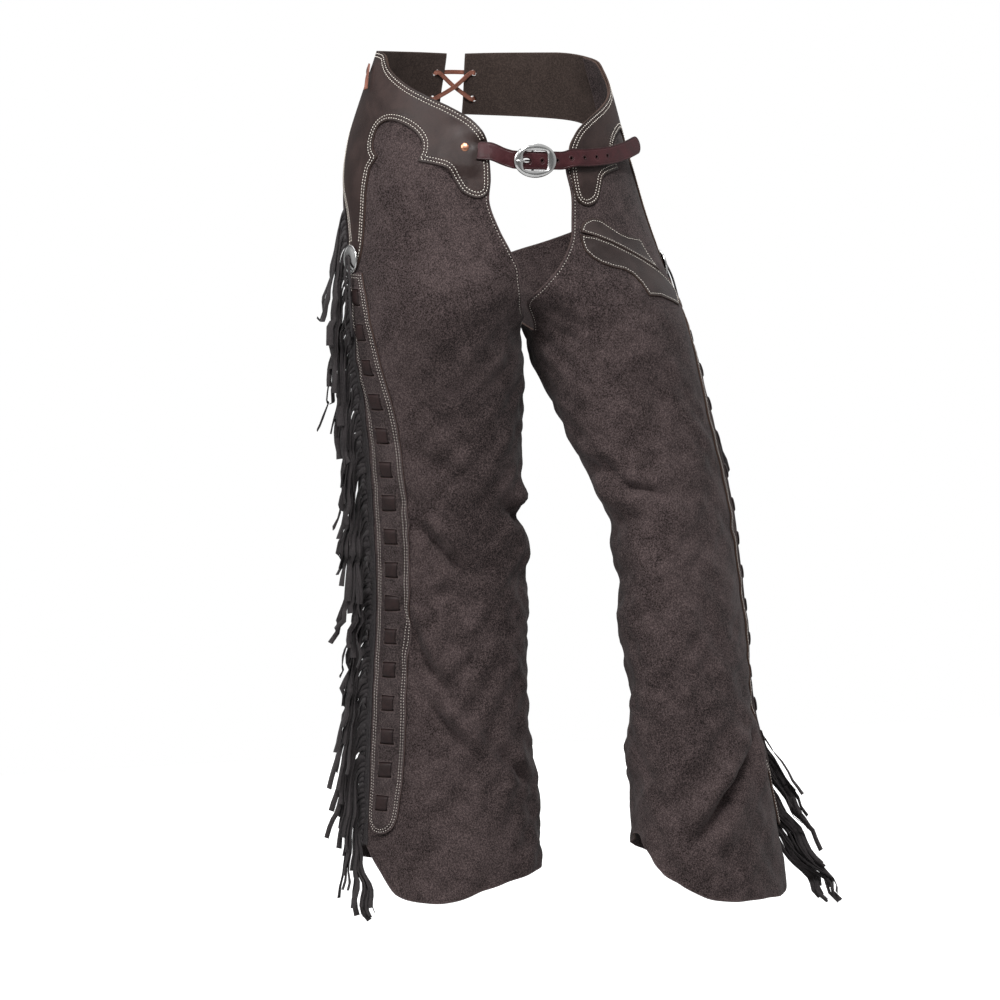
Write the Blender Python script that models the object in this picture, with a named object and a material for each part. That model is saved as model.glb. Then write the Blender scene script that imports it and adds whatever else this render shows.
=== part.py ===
"""Leather chaps as worn: two suede legs, smooth yokes, laced side strips and fringe.

Lengths in the tables are millimetres; meshes are made in metres.
+Z is up, the wearer faces -Y, and the wearer's left is +X.
The origin is the middle of the waist, where the wearer's hips hold the chaps up.
"""
import math

import bmesh
import bpy
from mathutils import Vector
from mathutils.geometry import delaunay_2d_cdt

MM = 0.001
# A cut face smaller than this, in square millimetres, is left out.
SLIVER = 0.05
# Least share of the spacing between a sheet's inner points and its edges.
GRID_ROOM = 0.5
DETAIL_ROOM = 0.25

# Thickness of each leather, and the gap left over the curved hides.
SUEDE = 2.0
YOKE_LEATHER = 1.8
STRIP_LEATHER = 1.8
LACE = 1.4
POCKET_LEATHER = 1.4
BILLET = 2.4
CHAPE = 1.8
FRINGE = 1.0
GAP = 1.0

# The hides' meshes: panels round, and rows below and above the crotch.
LEG_COLUMNS = 26
ROWS_BELOW = 19
ROWS_ABOVE = 10
CROTCH = -290.0
FLOOR = -938.0

# How far a layer's middle lies out of the hide's middle.
FIRST_LAYER = SUEDE / 2 + GAP
YOKE_OUT = FIRST_LAYER + YOKE_LEATHER / 2
STRIP_OUT = FIRST_LAYER + STRIP_LEATHER / 2
POCKET_OUT = FIRST_LAYER + POCKET_LEATHER / 2 + 0.5
HEADER_OUT = FIRST_LAYER + FRINGE / 2 + 0.3

SECTION_COLUMNS = ("z", "x", "y", "half_long", "half_short", "turn")
# Each leg's plan at a height: centre, half sizes, and how far its long side turns back.
SECTIONS = {
    "right": (
        (-930, -50, -2, 104, 80, 20),
        (-880, -50, -3, 101, 78, 20),
        (-800, -52, -5, 96, 71, 20),
        (-693, -56, -9, 89, 63, 19),
        (-585, -57, -14, 86, 61, 17),
        (-477, -64, -21, 85, 63, 14),
        (-370, -71, -28, 89, 76, 9),
        (-325, -73, -31, 91, 87, 6),
        (-285, -75, -33, 91, 96, 4),
        (-250, -61, -27, 104, 106, 2),
        (-210, -38, -14, 125, 113, 0),
        (-170, -18, -3, 143, 117, 0),
        (-130, -7, 3, 152, 118, 0),
        (-90, -2, 6, 149, 114, 0),
        (-45, 0, 5, 137, 105, 0),
        (0, 0, 4, 121, 95, 0),
        (20, 0, 4, 116, 91, 0),
    ),
    "left": (
        (-930, 200, -141, 102, 80, 36),
        (-860, 195, -141, 99, 75, 38),
        (-800, 189, -140, 96, 70, 40),
        (-735, 180, -138, 92, 65, 42),
        (-670, 174, -134, 89, 59, 42),
        (-585, 168, -128, 86, 60, 40),
        (-500, 161, -118, 83, 57, 35),
        (-456, 151, -110, 84, 60, 30),
        (-370, 125, -90, 86, 73, 20),
        (-325, 112, -78, 87, 84, 14),
        (-285, 103, -65, 88, 93, 8.5),
        (-250, 80, -46, 105.5, 103, 4),
        (-210, 45, -21, 133.5, 111, 1),
        (-170, 20, -4, 150, 117, 0),
        (-130, 7, 3, 153, 118, 0),
        (-90, 2, 6, 147, 114, 0),
        (-45, 0, 5, 136, 105, 0),
        (0, 0, 4, 121, 95, 0),
        (20, 0, 4, 116, 91, 0),
    ),
}

EDGE_COLUMNS = ("z", "front_turn", "back_turn")
# Where each hide's free edges run, in degrees round the section from its outer side.
EDGES = {
    "right": (
        (-290, 180, -180),
        (-280, 155, -151),
        (-268, 134, -136),
        (-244, 115, -122),
        (-222, 103, -96),
        (-204, 93, -66),
        (-183, 84, -38),
        (-156, 77, -18),
        (-130, 76, -12),
        (-94, 74, -12),
        (20, 71, -12),
    ),
    "left": (
        (-290, 180, -180),
        (-275, 168, -151),
        (-262, 157, -139),
        (-254, 146, -133),
        (-240, 126, -124),
        (-220, 104, -96),
        (-199, 90, -60),
        (-180, 83, -36),
        (-150, 77, -16),
        (-120, 76, -12),
        (-94, 74, -12),
        (20, 71, -12),
    ),
}

LINE_COLUMNS = ("turn", "z")
# The hides' top edge, from behind the hip round to the front.
TOP_LINE = (
    (-25, 4),
    (0, 2),
    (7, -2),
    (16, -18),
    (31, -34),
    (45, -46),
    (56, -57),
    (66, -72),
    (71, -84),
    (74, -98),
    (80, -108),
)
# The hem of each leg, from the inner side round the back, the seam and the front.
HEMS = {
    "right": (
        (-180, -868),
        (-120, -872),
        (-60, -876),
        (-20, -866),
        (10, -850),
        (24, -842),
        (42, -868),
        (56, -893),
        (78, -900),
        (92, -898),
        (112, -887),
        (140, -877),
        (180, -868),
    ),
    "left": (
        (-180, -861),
        (-165, -842),
        (-148, -822),
        (-120, -838),
        (-60, -868),
        (-20, -862),
        (10, -852),
        (24, -846),
        (45, -876),
        (69, -893),
        (100, -892),
        (140, -888),
        (160, -876),
        (180, -861),
    ),
}

# Folds from one place to another, and how far each rises, less than 0 for a crease.
# Columns: turn_a, z_a, turn_b, z_b, rise, reach.
FOLDS = {
    "right": (
        (70, -409, 96, -444, -3.5, 17),
        (72, -503, 104, -550, -4.5, 12),
        (74, -480, 108, -528, 3.0, 13),
        (59, -596, 90, -674, -3.5, 17),
        (90, -674, 107, -734, -3.5, 17),
        (113, -709, 127, -741, -3.0, 14),
        (127, -741, 163, -788, -4.0, 15),
        (140, -478, 172, -490, -5.0, 14),
        (150, -555, 180, -566, -5.0, 14),
        (165, -526, 176, -530, 3.0, 24),
        (-172, -470, -100, -500, -6.0, 16),
        (-160, -530, -90, -556, -5.0, 17),
        (-140, -620, -84, -710, -4.5, 22),
        (-168, -690, -120, -790, -4.0, 22),
        (-120, -380, -60, -430, -4.0, 22),
    ),
    "left": (
        (169, -451, 142, -453, -4.5, 12),
        (136, -472, 96, -455, -4.5, 13),
        (80, -699, 135, -788, -5.5, 18),
        (135, -788, 156, -829, -4.5, 18),
        (77, -735, 99, -788, -3.5, 14),
        (-178, -432, -140, -444, -5.0, 12),
        (-172, -458, -120, -470, -6.0, 13),
        (-165, -492, -110, -502, -5.5, 14),
        (-158, -550, -100, -575, -4.5, 18),
        (-150, -640, -90, -740, -4.5, 24),
        (-168, -740, -130, -800, -4.0, 20),
        (112, -560, 140, -640, -3.0, 22),
    ),
}

# The left hip sits a little lower, so its yoke and pocket drop.
DROP = {"right": 0.0, "left": -9.0}

# A yoke's outline. Columns: millimetres forward of the outer side line, and height.
YOKE_TOP = (
    (-158, 4),
    (-120, 5),
    (-60, 5),
    (-20, 4),
    (8, 1),
    (19, -8),
    (32, -18),
    (60, -33),
    (88, -45),
    (116, -56),
    (140, -68),
    (155, -80),
    (165, -92),
)
YOKE_FRONT = (
    (170, -106),
    (174, -124),
    (175, -140),
    (170, -148),
    (160, -150),
    (147, -144),
    (138, -132),
    (130, -121),
    (118, -116),
    (97, -112),
)
YOKE_ARCH = (
    (99, -101),
    (96, -91),
    (84, -80),
    (66, -72),
    (50, -70),
    (40, -76),
    (38, -90),
    (41, -100),
    (49, -107),
)
YOKE_TAIL = (
    (41, -120),
    (38, -140),
    (35, -165),
    (31, -190),
    (24, -212),
    (15, -224),
    (7, -226),
    (1, -218),
    (2, -190),
    (-2, -165),
    (-14, -140),
    (-22, -116),
    (-27, -96),
    (-38, -80),
    (-60, -70),
    (-110, -65),
    (-184, -62),
)
YOKE_SPACING = 13.0

# The slit that the billet comes out of, and the lift of the yoke over its hidden end.
SLIT = ((157.5, -87), (166, -87), (166, -116), (157.5, -116))
LIFT = (("forward", 131, 158), ("z", -117, -85))
LIFT_EDGE = 7.0

# The side strip: its middle line and its half width.
STRIP_COLUMNS = ("z", "forward", "half_width")
STRIP_LINE = (
    (-828, 58, 19),
    (-758, 59, 20),
    (-650, 55, 20),
    (-500, 54, 19),
    (-399, 52, 18.5),
    (-362, 47, 18),
    (-327, 38, 18),
    (-288, 27, 18),
    (-250, 17, 16),
    (-230, 12, 14),
)
STRIP_TOP = -229.0
STRIP_BOTTOM = -829.0
STRIP_ROUND = 20.0
STRIP_ROWS = 12
STRIP_END_PARTS = 8
STRIP_SPACING = 14.0
SQUARES = 16
SQUARE = 14.0
SQUARE_PITCH = 36.0
FIRST_SQUARE = -255.0
# The slots' height, and how much wider than a square they are.
SLOT = 3.4
SLOT_EASE = 1.0
LACE_WIDTH = 12.0
# The strip arches over the lace's hidden runs; the lace lies under it, then over it.
STRIP_ARCH = 2.1
ARCH_TOP = 8.5
ARCH_FOOT = 15.5
ARCH_END = 7.0
LACE_UNDER = 2.7
LACE_OVER = 7.1
LACE_STEP = (7.7, 9.7)
LACE_END = 11.2

# The fringe header's back edge and width; its strands' swing, length and slope outward.
FRINGE_COLUMNS = ("z", "seam", "width", "swing", "length", "slope")
FRINGE_LINE = {
    "right": (
        (-846, 24, 16, 40, 112, 0.17),
        (-820, 22, 16, -18, 118, 0.17),
        (-758, 19, 17, 3, 124, 0.17),
        (-650, 15, 17, -2, 132, 0.17),
        (-500, 14, 17, 4, 128, 0.17),
        (-399, 12, 17, -3, 136, 0.17),
        (-362, 8, 17, 2, 130, 0.17),
        (-327, -2, 17, 4, 124, 0.18),
        (-288, -13, 15, -4, 132, 0.18),
        (-250, -13, 11, -2, 130, 0.18),
        (-230, -13, 9, 0, 128, 0.18),
        (-215, -13, 9, 0, 126, 0.18),
        (-160, -17, 8, 0, 120, 0.18),
    ),
    "left": (
        (-846, 24, 16, 108, 126, 0.17),
        (-820, 22, 16, 84, 130, 0.17),
        (-758, 19, 17, 44, 128, 0.17),
        (-690, 16, 17, 6, 130, 0.17),
        (-650, 15, 17, -12, 132, 0.17),
        (-500, 14, 17, -16, 128, 0.17),
        (-399, 12, 17, -18, 130, 0.18),
        (-362, 8, 17, -18, 130, 0.18),
        (-327, -2, 17, -18, 128, 0.20),
        (-288, -13, 15, -20, 128, 0.22),
        (-250, -13, 11, -22, 126, 0.23),
        (-230, -13, 9, -22, 124, 0.23),
        (-215, -13, 9, -22, 122, 0.23),
        (-160, -17, 8, -22, 118, 0.23),
    ),
}
FRINGE_TOP = -162.0
FRINGE_BOTTOM = -843.0
STRANDS = 60
STRAND_WIDTH = 6.4
STRAND_BEND = 11.0
STRAND_REACH = 7.5
HEADER_GROUP = 4
# Straight parts in each hanging strand: more on the leg that bends.
STRAND_PARTS = {"right": 1, "left": 2}
STRAND_LANES = (0.0, 3.0, -2.5, 1.5, -1.0)
STRAND_TRIMS = (0.0, -5.0, -2.0, -7.0, -10.0, -6.0, -8.0, -3.0)

# The front strap: places laid on a hide, and places in front of the wearer.
STRAP_WIDTH = 19.0
STRAP_SPACING = 8.0
# Columns: kind, across (or forward on a hide), out, z.
BILLET_PATH = (
    ("right", 136, 3.2, -99),
    ("right", 148, 3.2, -100),
    ("right", 157, 3.2, -101),
    ("right", 165, 6.2, -102),
    ("right", 172, 6.8, -103),
    ("front", -30, 115.4, -107),
    ("front", -24, 117.6, -109),
    ("front", -19, 118.5, -110),
    ("front", 3, 119.0, -111),
    ("front", 24, 118.6, -111),
    ("front", 36, 116.6, -111),
    ("left", 168, 9.2, -110),
    ("left", 150, 9.0, -110),
    ("left", 130, 9.0, -109),
    ("left", 108, 9.6, -107),
    ("left", 88, 11.6, -104),
    ("left", 72, 14.5, -101),
    ("left", 56, 19.0, -98),
)
BILLET_HOLE = 3.6
BILLET_HOLES = 7
HOLE_PITCH = 17.6
TONGUE_HOLE = (9.6, 4.6)
TONGUE_REACH = 9.2

# The buckle, centred on its bar: a flat oval frame with an oblong window.
BUCKLE = (2.5, -113.6, -111.0)
BUCKLE_SIZE = (48.0, 36.0)
WINDOW_SIZE = (28.0, 20.6)
WINDOW_SQUARENESS = 6
RIM_STATIONS = 30
# Columns: share of the way across the rim, and distance out of the bar.
RIM_PROFILE = ((0.0, 7.2), (0.0, 8.6), (0.45, 10.1), (0.9, 8.9), (1.0, 7.9), (1.0, 7.2))
BAR_RADIUS = 1.3
BAR_POST = 12.8
BAR_DEPTH = 8.3
BAR_BEND = (1.5, 2.0)

CHAPE_WIDTH = 18.0
# Columns: kind, across (or forward on a hide), out, z.
CHAPE_PATH = (
    ("left", 90, 5.6, -104),
    ("left", 108, 5.6, -107),
    ("left", 130, 5.6, -109),
    ("left", 150, 5.6, -110),
    ("left", 168, 5.6, -110),
    ("front", 36, 113.8, -111),
    ("front", 26, 115.4, -111),
    ("front", 14, 116.0, -111),
    ("front", 4.5, 116.2, -111),
    ("front", 1.7, 116.2, -111),
    ("front", 0.3, 115.2, -111),
    ("front", -0.2, 113.6, -111),
    ("front", 0.3, 112.0, -111),
    ("front", 1.7, 111.0, -111),
    ("front", 4.5, 110.9, -111),
    ("front", 14, 111.8, -111),
    ("front", 27, 111.6, -111),
)
CHAPE_SLOT = (22.0, 3.4)
CHAPE_SLOT_PARTS = 12
TONGUE_RADIUS = 1.1
# Columns: x, y.
TONGUE_PATH = (
    (2.0, -110.6),
    (0.2, -111.5),
    (-0.6, -113.2),
    (-0.9, -115.0),
    (-2.6, -116.2),
    (-5.2, -117.6),
    (-8.0, -120.2),
    (-10.2, -123.2),
    (-13.0, -125.0),
    (-16.5, -125.6),
    (-20.5, -125.2),
)

# The rivet on the right yoke (forward, z, out), and the conchos on both tails.
RIVET = (143, -98, 8.0)
# Profiles' columns: radius, height.
RIVET_PROFILE = ((0.0, 1.5), (2.2, 1.35), (3.8, 0.8), (4.5, 0.0))
CONCHO_SPOT = (8, -215)
CONCHO_OUT = 4.6
CONCHO_PROFILE = ((0.0, 3.6), (5.0, 3.4), (9.5, 2.6), (13.0, 1.5), (15.5, 0.9), (15.5, 0.0))
STRING_WIDTH = 3.6
STRING_WALL = 1.4
# Columns: across, drop, out.
STRING_PATH = (
    (-6.0, -92.0, 9.0),
    (-5.2, -55.0, 10.0),
    (-4.2, -20.0, 10.0),
    (-3.2, -3.0, 9.4),
    (-2.2, 1.6, 9.2),
    (0.0, 3.4, 9.2),
    (2.2, 1.6, 9.2),
    (3.2, -3.0, 9.4),
    (5.0, -20.0, 10.0),
    (6.6, -50.0, 10.0),
    (8.0, -80.0, 9.0),
)

# The pocket on the left leg: a facing over its opening and a welt below it.
# Columns: forward, z.
POCKET_FACING = (
    (181, -187),
    (180, -182),
    (174, -176),
    (162, -172),
    (152, -174),
    (141, -181),
    (130, -188),
    (119, -192),
    (97, -195),
    (92, -212),
    (87, -229),
    (102, -221),
    (117, -213),
    (131, -206),
    (148, -198),
    (167, -191),
)
POCKET_WELT = (
    (184, -191),
    (167, -194),
    (148, -201.5),
    (131, -209.5),
    (117, -216.5),
    (102, -224.5),
    (87, -233),
    (66, -244),
    (58, -252),
    (72, -266),
    (100, -258),
    (111, -255),
    (128, -254),
    (131, -241),
    (137, -232),
    (145, -227),
    (158, -224),
    (169, -220),
    (178, -214),
    (184, -206),
)
POCKET_SPACING = 12.0

# The lace at the middle of the back, from one free end to the other.
BACK_LACE_WIDTH = 4.6
BACK_LACE_WALL = 1.5
# The belts' lace holes (forward, z), and their width.
BACK_HOLES = ((-156, -17), (-166, -45))
BACK_HOLE_WIDTH = 10.4
# Where the lace crosses the middle of the back: height and distance out.
BACK_CROSSINGS = ((-31, 0.2), (-17, 6.0), (-31, -3.4))
# At each hole in turn: the leg, the hole, and steps across it at a level (1 is outside).
BACK_LACING = (
    ("left", 1, ((3.0, 1), (0.0, 0), (-3.0, -1))),
    ("right", 0, ((-4.0, -1), (0.3, -1), (2.2, 0), (0.3, 1), (-4.0, 1))),
    ("left", 0, ((-4.0, 1), (0.3, 1), (2.2, 0), (0.3, -1), (-4.0, -1))),
    ("right", 1, ((-3.0, -1), (0.0, 0), (3.0, 1))),
)
# The lace's two free ends. Columns: forward, z, out.
BACK_LACE_TAILS = {
    "left": (
        (-20, -92, 14.0),
        (-30, -82, 10.0),
        (-48, -66, 6.4),
        (-78, -54, 6.0),
        (-110, -48, 6.0),
        (-145, -45, 6.0),
    ),
    "right": (
        (-8, -34, 9.0),
        (-16, -22, 10.5),
        (-26, -12, 8.0),
        (-50, -22, 6.2),
        (-80, -32, 6.0),
        (-112, -40, 6.0),
        (-145, -45, 6.0),
    ),
}


def ramp(value, low, high):
    """Rise smoothly from 0 to 1 between two values."""
    part = min(max((value - low) / (high - low), 0.0), 1.0)
    return part * part * (3 - 2 * part)


class Table:
    """Rows of sizes with named columns, read anywhere along a smooth curve."""

    def __init__(self, columns, rows):
        self.keys = [row[0] for row in rows]
        self.values = {}
        for index, name in enumerate(columns[1:], start=1):
            self.values[name] = [row[index] for row in rows]

    def slope(self, values, index):
        """Give the curve's slope at a row."""
        low = max(index - 1, 0)
        high = min(index + 1, len(values) - 1)
        return (values[high] - values[low]) / (self.keys[high] - self.keys[low])

    def at(self, name, key):
        """Read one column at a key, held at its end values beyond the table."""
        keys = self.keys
        values = self.values[name]
        if key <= keys[0]:
            return values[0]
        if key >= keys[-1]:
            return values[-1]
        index = 0
        while keys[index + 1] < key:
            index += 1
        step = keys[index + 1] - keys[index]
        part = (key - keys[index]) / step
        slope_a = self.slope(values, index) * step
        slope_b = self.slope(values, index + 1) * step
        square = part * part
        cube = square * part
        return (
            (2 * cube - 3 * square + 1) * values[index]
            + (cube - 2 * square + part) * slope_a
            + (3 * square - 2 * cube) * values[index + 1]
            + (cube - square) * slope_b
        )


class Leg:
    """The form of one leg's wall, in degrees round it and millimetres of height."""

    FOLD_RADIUS = 78.0
    WALK_STEP = 3.0
    NORMAL_TURN = 1.0
    NORMAL_RISE = 3.0

    def __init__(self, name):
        self.name = name
        self.side = -1 if name == "right" else 1
        self.sections = Table(SECTION_COLUMNS, SECTIONS[name])
        self.edges = Table(EDGE_COLUMNS, EDGES[name])
        self.top = Table(LINE_COLUMNS, TOP_LINE)
        self.hem = Table(LINE_COLUMNS, HEMS[name])
        self.folds = FOLDS[name]
        self.drop = DROP[name]

    def ellipse(self, turn, z):
        """Give the point of the plain section."""
        read = self.sections.at
        back = math.radians(read("turn", z))
        angle = math.radians(turn)
        along = read("half_long", z) * math.cos(angle)
        across = read("half_short", z) * math.sin(angle)
        return Vector((
            read("x", z) + self.side * (along * math.cos(back) + across * math.sin(back)),
            read("y", z) + along * math.sin(back) - across * math.cos(back),
            z,
        ))

    def fold_rise(self, turn, z):
        """Add up how far the folds push the wall out here."""
        total = 0.0
        for turn_a, z_a, turn_b, z_b, rise, reach in self.folds:
            aside = math.radians((turn - turn_a + 180) % 360 - 180) * self.FOLD_RADIUS
            run = math.radians(turn_b - turn_a) * self.FOLD_RADIUS
            fall = z_b - z_a
            part = (aside * run + (z - z_a) * fall) / (run * run + fall * fall)
            part = min(max(part, 0.0), 1.0)
            off = math.hypot(aside - part * run, z - z_a - part * fall)
            if off < 3 * reach:
                fade = 0.3 + 0.7 * math.sin(math.pi * part)
                total += rise * fade * math.exp(-((off / reach) ** 2))
        return total

    def form(self, turn, z):
        """Give the middle of the wall, folds and all."""
        point = self.ellipse(turn, z)
        rise = self.fold_rise(turn, z)
        if rise:
            ahead = self.ellipse(turn + self.NORMAL_TURN, z) - point
            out = Vector((-ahead.y, ahead.x, 0)).normalized() * self.side
            point += out * rise
        return point

    def outward(self, turn, z):
        """Give the wall's outward direction."""
        return self.up_way(turn, z).cross(self.round_way(turn, z)).normalized() * self.side

    def round_way(self, turn, z):
        """Give the direction round the wall, toward the front."""
        ahead = self.form(turn + self.NORMAL_TURN, z)
        return (ahead - self.form(turn - self.NORMAL_TURN, z)).normalized()

    def up_way(self, turn, z):
        """Give the direction up the wall."""
        above = self.form(turn, z + self.NORMAL_RISE)
        return (above - self.form(turn, z - self.NORMAL_RISE)).normalized()

    def place(self, turn, z, out=0.0):
        """Give a point a distance out of the wall's middle."""
        return self.form(turn, z) + self.outward(turn, z) * out

    def sag(self, forward):
        """Give how much this hip hangs lower here than the other."""
        return self.drop * ramp(forward, -60, 30)

    def top_z(self, turn):
        """Give the height of the hide's top edge."""
        return self.top.at("z", turn) + self.sag(2 * turn)

    def turn_at(self, z, forward):
        """Give the turn that lies some millimetres forward of the outer side line."""
        long_half = self.sections.at("half_long", z)
        short_half = self.sections.at("half_short", z)
        steps = max(1, math.ceil(abs(forward) / self.WALK_STEP))
        step = forward / steps
        angle = 0.0
        for _ in range(steps):
            rate = math.hypot(long_half * math.sin(angle), short_half * math.cos(angle))
            middle = angle + 0.5 * step / rate
            rate = math.hypot(long_half * math.sin(middle), short_half * math.cos(middle))
            angle += step / rate
        return math.degrees(angle)

    def back_reach(self, z):
        """Give the forward value of the middle of the back."""
        steps = 30
        total = 0.0
        for index in range(steps):
            turn = -90 * (index + 0.5) / steps
            ahead = self.ellipse(turn - 45 / steps, z) - self.ellipse(turn + 45 / steps, z)
            total += ahead.length
        return -total

    def lay(self, forward, z, out=0.0):
        """Give a point by its millimetres forward of the outer side line."""
        return self.place(self.turn_at(z, forward), z, out)


def finish_mesh(name, bm, material, wall=0.0):
    """Make an object from a bmesh in millimetres, with a wall if it is a sheet."""
    bmesh.ops.recalc_face_normals(bm, faces=bm.faces)
    bmesh.ops.scale(bm, vec=(MM, MM, MM), verts=bm.verts)
    mesh = bpy.data.meshes.new(name)
    bm.to_mesh(mesh)
    bm.free()
    mesh.materials.append(material)
    thing = bpy.data.objects.new(name, mesh)
    bpy.context.scene.collection.objects.link(thing)
    if wall:
        thickness = thing.modifiers.new("Wall", "SOLIDIFY")
        thickness.thickness = wall * MM
        thickness.offset = 0.0
    mesh.shade_smooth()
    mesh.set_sharp_from_angle(angle=math.radians(40))
    return thing


def make_material(name, colour, roughness, metallic=0.0):
    """Make a plain finish."""
    material = bpy.data.materials.new(name)
    material.use_nodes = True
    shader = material.node_tree.nodes["Principled BSDF"]
    shader.inputs["Base Color"].default_value = (*colour, 1.0)
    shader.inputs["Roughness"].default_value = roughness
    shader.inputs["Metallic"].default_value = metallic
    return material


def make_leg(leg, material):
    """Make one hide: open at its front and back above the crotch, closed round below."""
    bm = bmesh.new()
    grid = []
    rows = ROWS_BELOW + ROWS_ABOVE
    for row in range(rows + 1):
        line = []
        for column in range(LEG_COLUMNS + 1):
            if row <= ROWS_BELOW and column == LEG_COLUMNS:
                line.append(line[0])
                continue
            share = column / LEG_COLUMNS
            if row <= ROWS_BELOW:
                turn = 180 - 360 * share
                hem = leg.hem.at("z", turn)
                z = hem + (CROTCH - hem) * row / ROWS_BELOW
            else:
                climb = (row - ROWS_BELOW) / ROWS_ABOVE
                z = CROTCH * (1 - climb)
                for _ in range(8):
                    front = leg.edges.at("front_turn", z)
                    back = leg.edges.at("back_turn", z)
                    turn = front + (back - front) * share
                    z = CROTCH + (leg.top_z(turn) - CROTCH) * climb
            line.append(bm.verts.new(leg.form(turn, z)))
        grid.append(line)
    for low, high in zip(grid, grid[1:]):
        for column in range(LEG_COLUMNS):
            bm.faces.new((low[column], low[column + 1], high[column + 1], high[column]))
    return finish_mesh("leg_" + leg.name, bm, material, SUEDE)


def inside(point, outline):
    """Say whether a flat point lies within an outline."""
    odd = False
    x, y = point
    for (xa, ya), (xb, yb) in zip(outline, outline[1:] + outline[:1]):
        if (ya > y) != (yb > y) and x < xa + (y - ya) * (xb - xa) / (yb - ya):
            odd = not odd
    return odd


def nearest(point, outline):
    """Give a flat point's distance from an outline's line."""
    best = math.inf
    spot = Vector(point)
    for start, end in zip(outline, outline[1:] + outline[:1]):
        run = Vector(end) - Vector(start)
        part = (spot - Vector(start)).dot(run) / run.length_squared
        part = min(max(part, 0.0), 1.0)
        best = min(best, (spot - Vector(start) - run * part).length)
    return best


def divided(outline, spacing):
    """Add points along an outline's long stretches."""
    points = []
    for start, end in zip(outline, outline[1:] + outline[:1]):
        count = max(1, round(math.dist(start, end) / spacing))
        for index in range(count):
            part = index / count
            points.append((
                start[0] + (end[0] - start[0]) * part,
                start[1] + (end[1] - start[1]) * part,
            ))
    return points


def oval(centre, size, sides=8):
    """Give the outline of a small hole."""
    points = []
    for index in range(sides):
        angle = math.tau * (index + 0.5) / sides
        points.append((
            centre[0] + size[0] / 2 * math.cos(angle),
            centre[1] + size[1] / 2 * math.sin(angle),
        ))
    return points


def box(across, up, width, height):
    """Give the outline of a slot by its middle and size."""
    return [
        (across - width / 2, up - height / 2),
        (across + width / 2, up - height / 2),
        (across + width / 2, up + height / 2),
        (across - width / 2, up + height / 2),
    ]


def cut_sheet(name, outline, lay, wall, material, spacing, holes=(), details=()):
    """Cut a flat outline and its holes, wrap it where lay() says, and thicken it."""
    rim = divided(list(outline), spacing)
    loops = [rim] + [list(hole) for hole in holes]
    points = []
    edges = []
    for loop in loops:
        first = len(points)
        points += loop
        for index in range(len(loop)):
            edges.append((first + index, first + (index + 1) % len(loop)))
    low = [min(point[axis] for point in rim) for axis in (0, 1)]
    high = [max(point[axis] for point in rim) for axis in (0, 1)]
    inner = list(details)
    rows = int((high[1] - low[1]) / spacing) + 1
    columns = int((high[0] - low[0]) / spacing) + 1
    for row in range(rows + 1):
        for column in range(columns + 1):
            shift = 0.5 * (row % 2)
            inner.append((low[0] + (column + shift) * spacing, low[1] + row * spacing))
    for index, point in enumerate(inner):
        on_grid = index >= len(details)
        room = (GRID_ROOM if on_grid else DETAIL_ROOM) * spacing
        if not inside(point, rim) or any(inside(point, hole) for hole in loops[1:]):
            continue
        if min(nearest(point, loop) for loop in loops) < room:
            continue
        if on_grid and details:
            if min(math.dist(point, detail) for detail in details) < room:
                continue
        points.append(point)
    flat = [Vector(point) for point in points]
    verts, _, faces, *_ = delaunay_2d_cdt(flat, edges, [], 0, 1e-4)
    bm = bmesh.new()
    made = [bm.verts.new(lay(vert.x, vert.y)) for vert in verts]
    for face in faces:
        middle = sum((verts[index] for index in face), Vector((0, 0))) / len(face)
        first, second, third = (verts[index] for index in face)
        area = (second - first).cross(third - first) / 2
        if area < SLIVER or not inside(middle, rim):
            continue
        if not any(inside(middle, hole) for hole in loops[1:]):
            bm.faces.new([made[index] for index in face])
    loose = [vert for vert in bm.verts if not vert.link_faces]
    bmesh.ops.delete(bm, geom=loose, context="VERTS")
    return finish_mesh(name, bm, material, wall)


def smooth_route(points, parts=8):
    """Give closely spaced points on a smooth curve through a route's points."""
    fine = []
    last = len(points) - 1
    for index in range(last):
        before = points[max(index - 1, 0)]
        start = points[index]
        end = points[index + 1]
        after = points[min(index + 2, last)]
        for step in range(parts):
            part = step / parts
            square = part * part
            cube = square * part
            fine.append(
                0.5 * (
                    2 * start + (end - before) * part
                    + (2 * before - 5 * start + 4 * end - after) * square
                    + (3 * start - before - 3 * end + after) * cube
                )
            )
    fine.append(points[last])
    return fine


class Strap:
    """A strap's smooth route round the front, read by its length."""

    def __init__(self, rows, legs):
        points = []
        ups = []
        for kind, across, out, z in rows:
            if kind == "front":
                points.append(Vector((across, -out, z)))
                ups.append(Vector((0, 0, 1)))
            else:
                turn = legs[kind].turn_at(z, across)
                points.append(legs[kind].place(turn, z, out))
                ups.append(legs[kind].up_way(turn, z))
        self.points = smooth_route(points)
        self.ups = smooth_route(ups)
        self.lengths = [0.0]
        for start, end in zip(self.points, self.points[1:]):
            self.lengths.append(self.lengths[-1] + (end - start).length)
        self.length = self.lengths[-1]

    def lay(self, along, up):
        """Give the point at a length along the strap and a height on its face."""
        index = 0
        while index < len(self.points) - 2 and self.lengths[index + 1] < along:
            index += 1
        run = self.lengths[index + 1] - self.lengths[index]
        part = (along - self.lengths[index]) / run
        middle = self.points[index].lerp(self.points[index + 1], part)
        return middle + self.ups[index].lerp(self.ups[index + 1], part) * up

    def nearest(self, point):
        """Give the length along the strap nearest a point."""
        best = min(range(len(self.points)), key=lambda i: (self.points[i] - point).length)
        return self.lengths[best]


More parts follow.
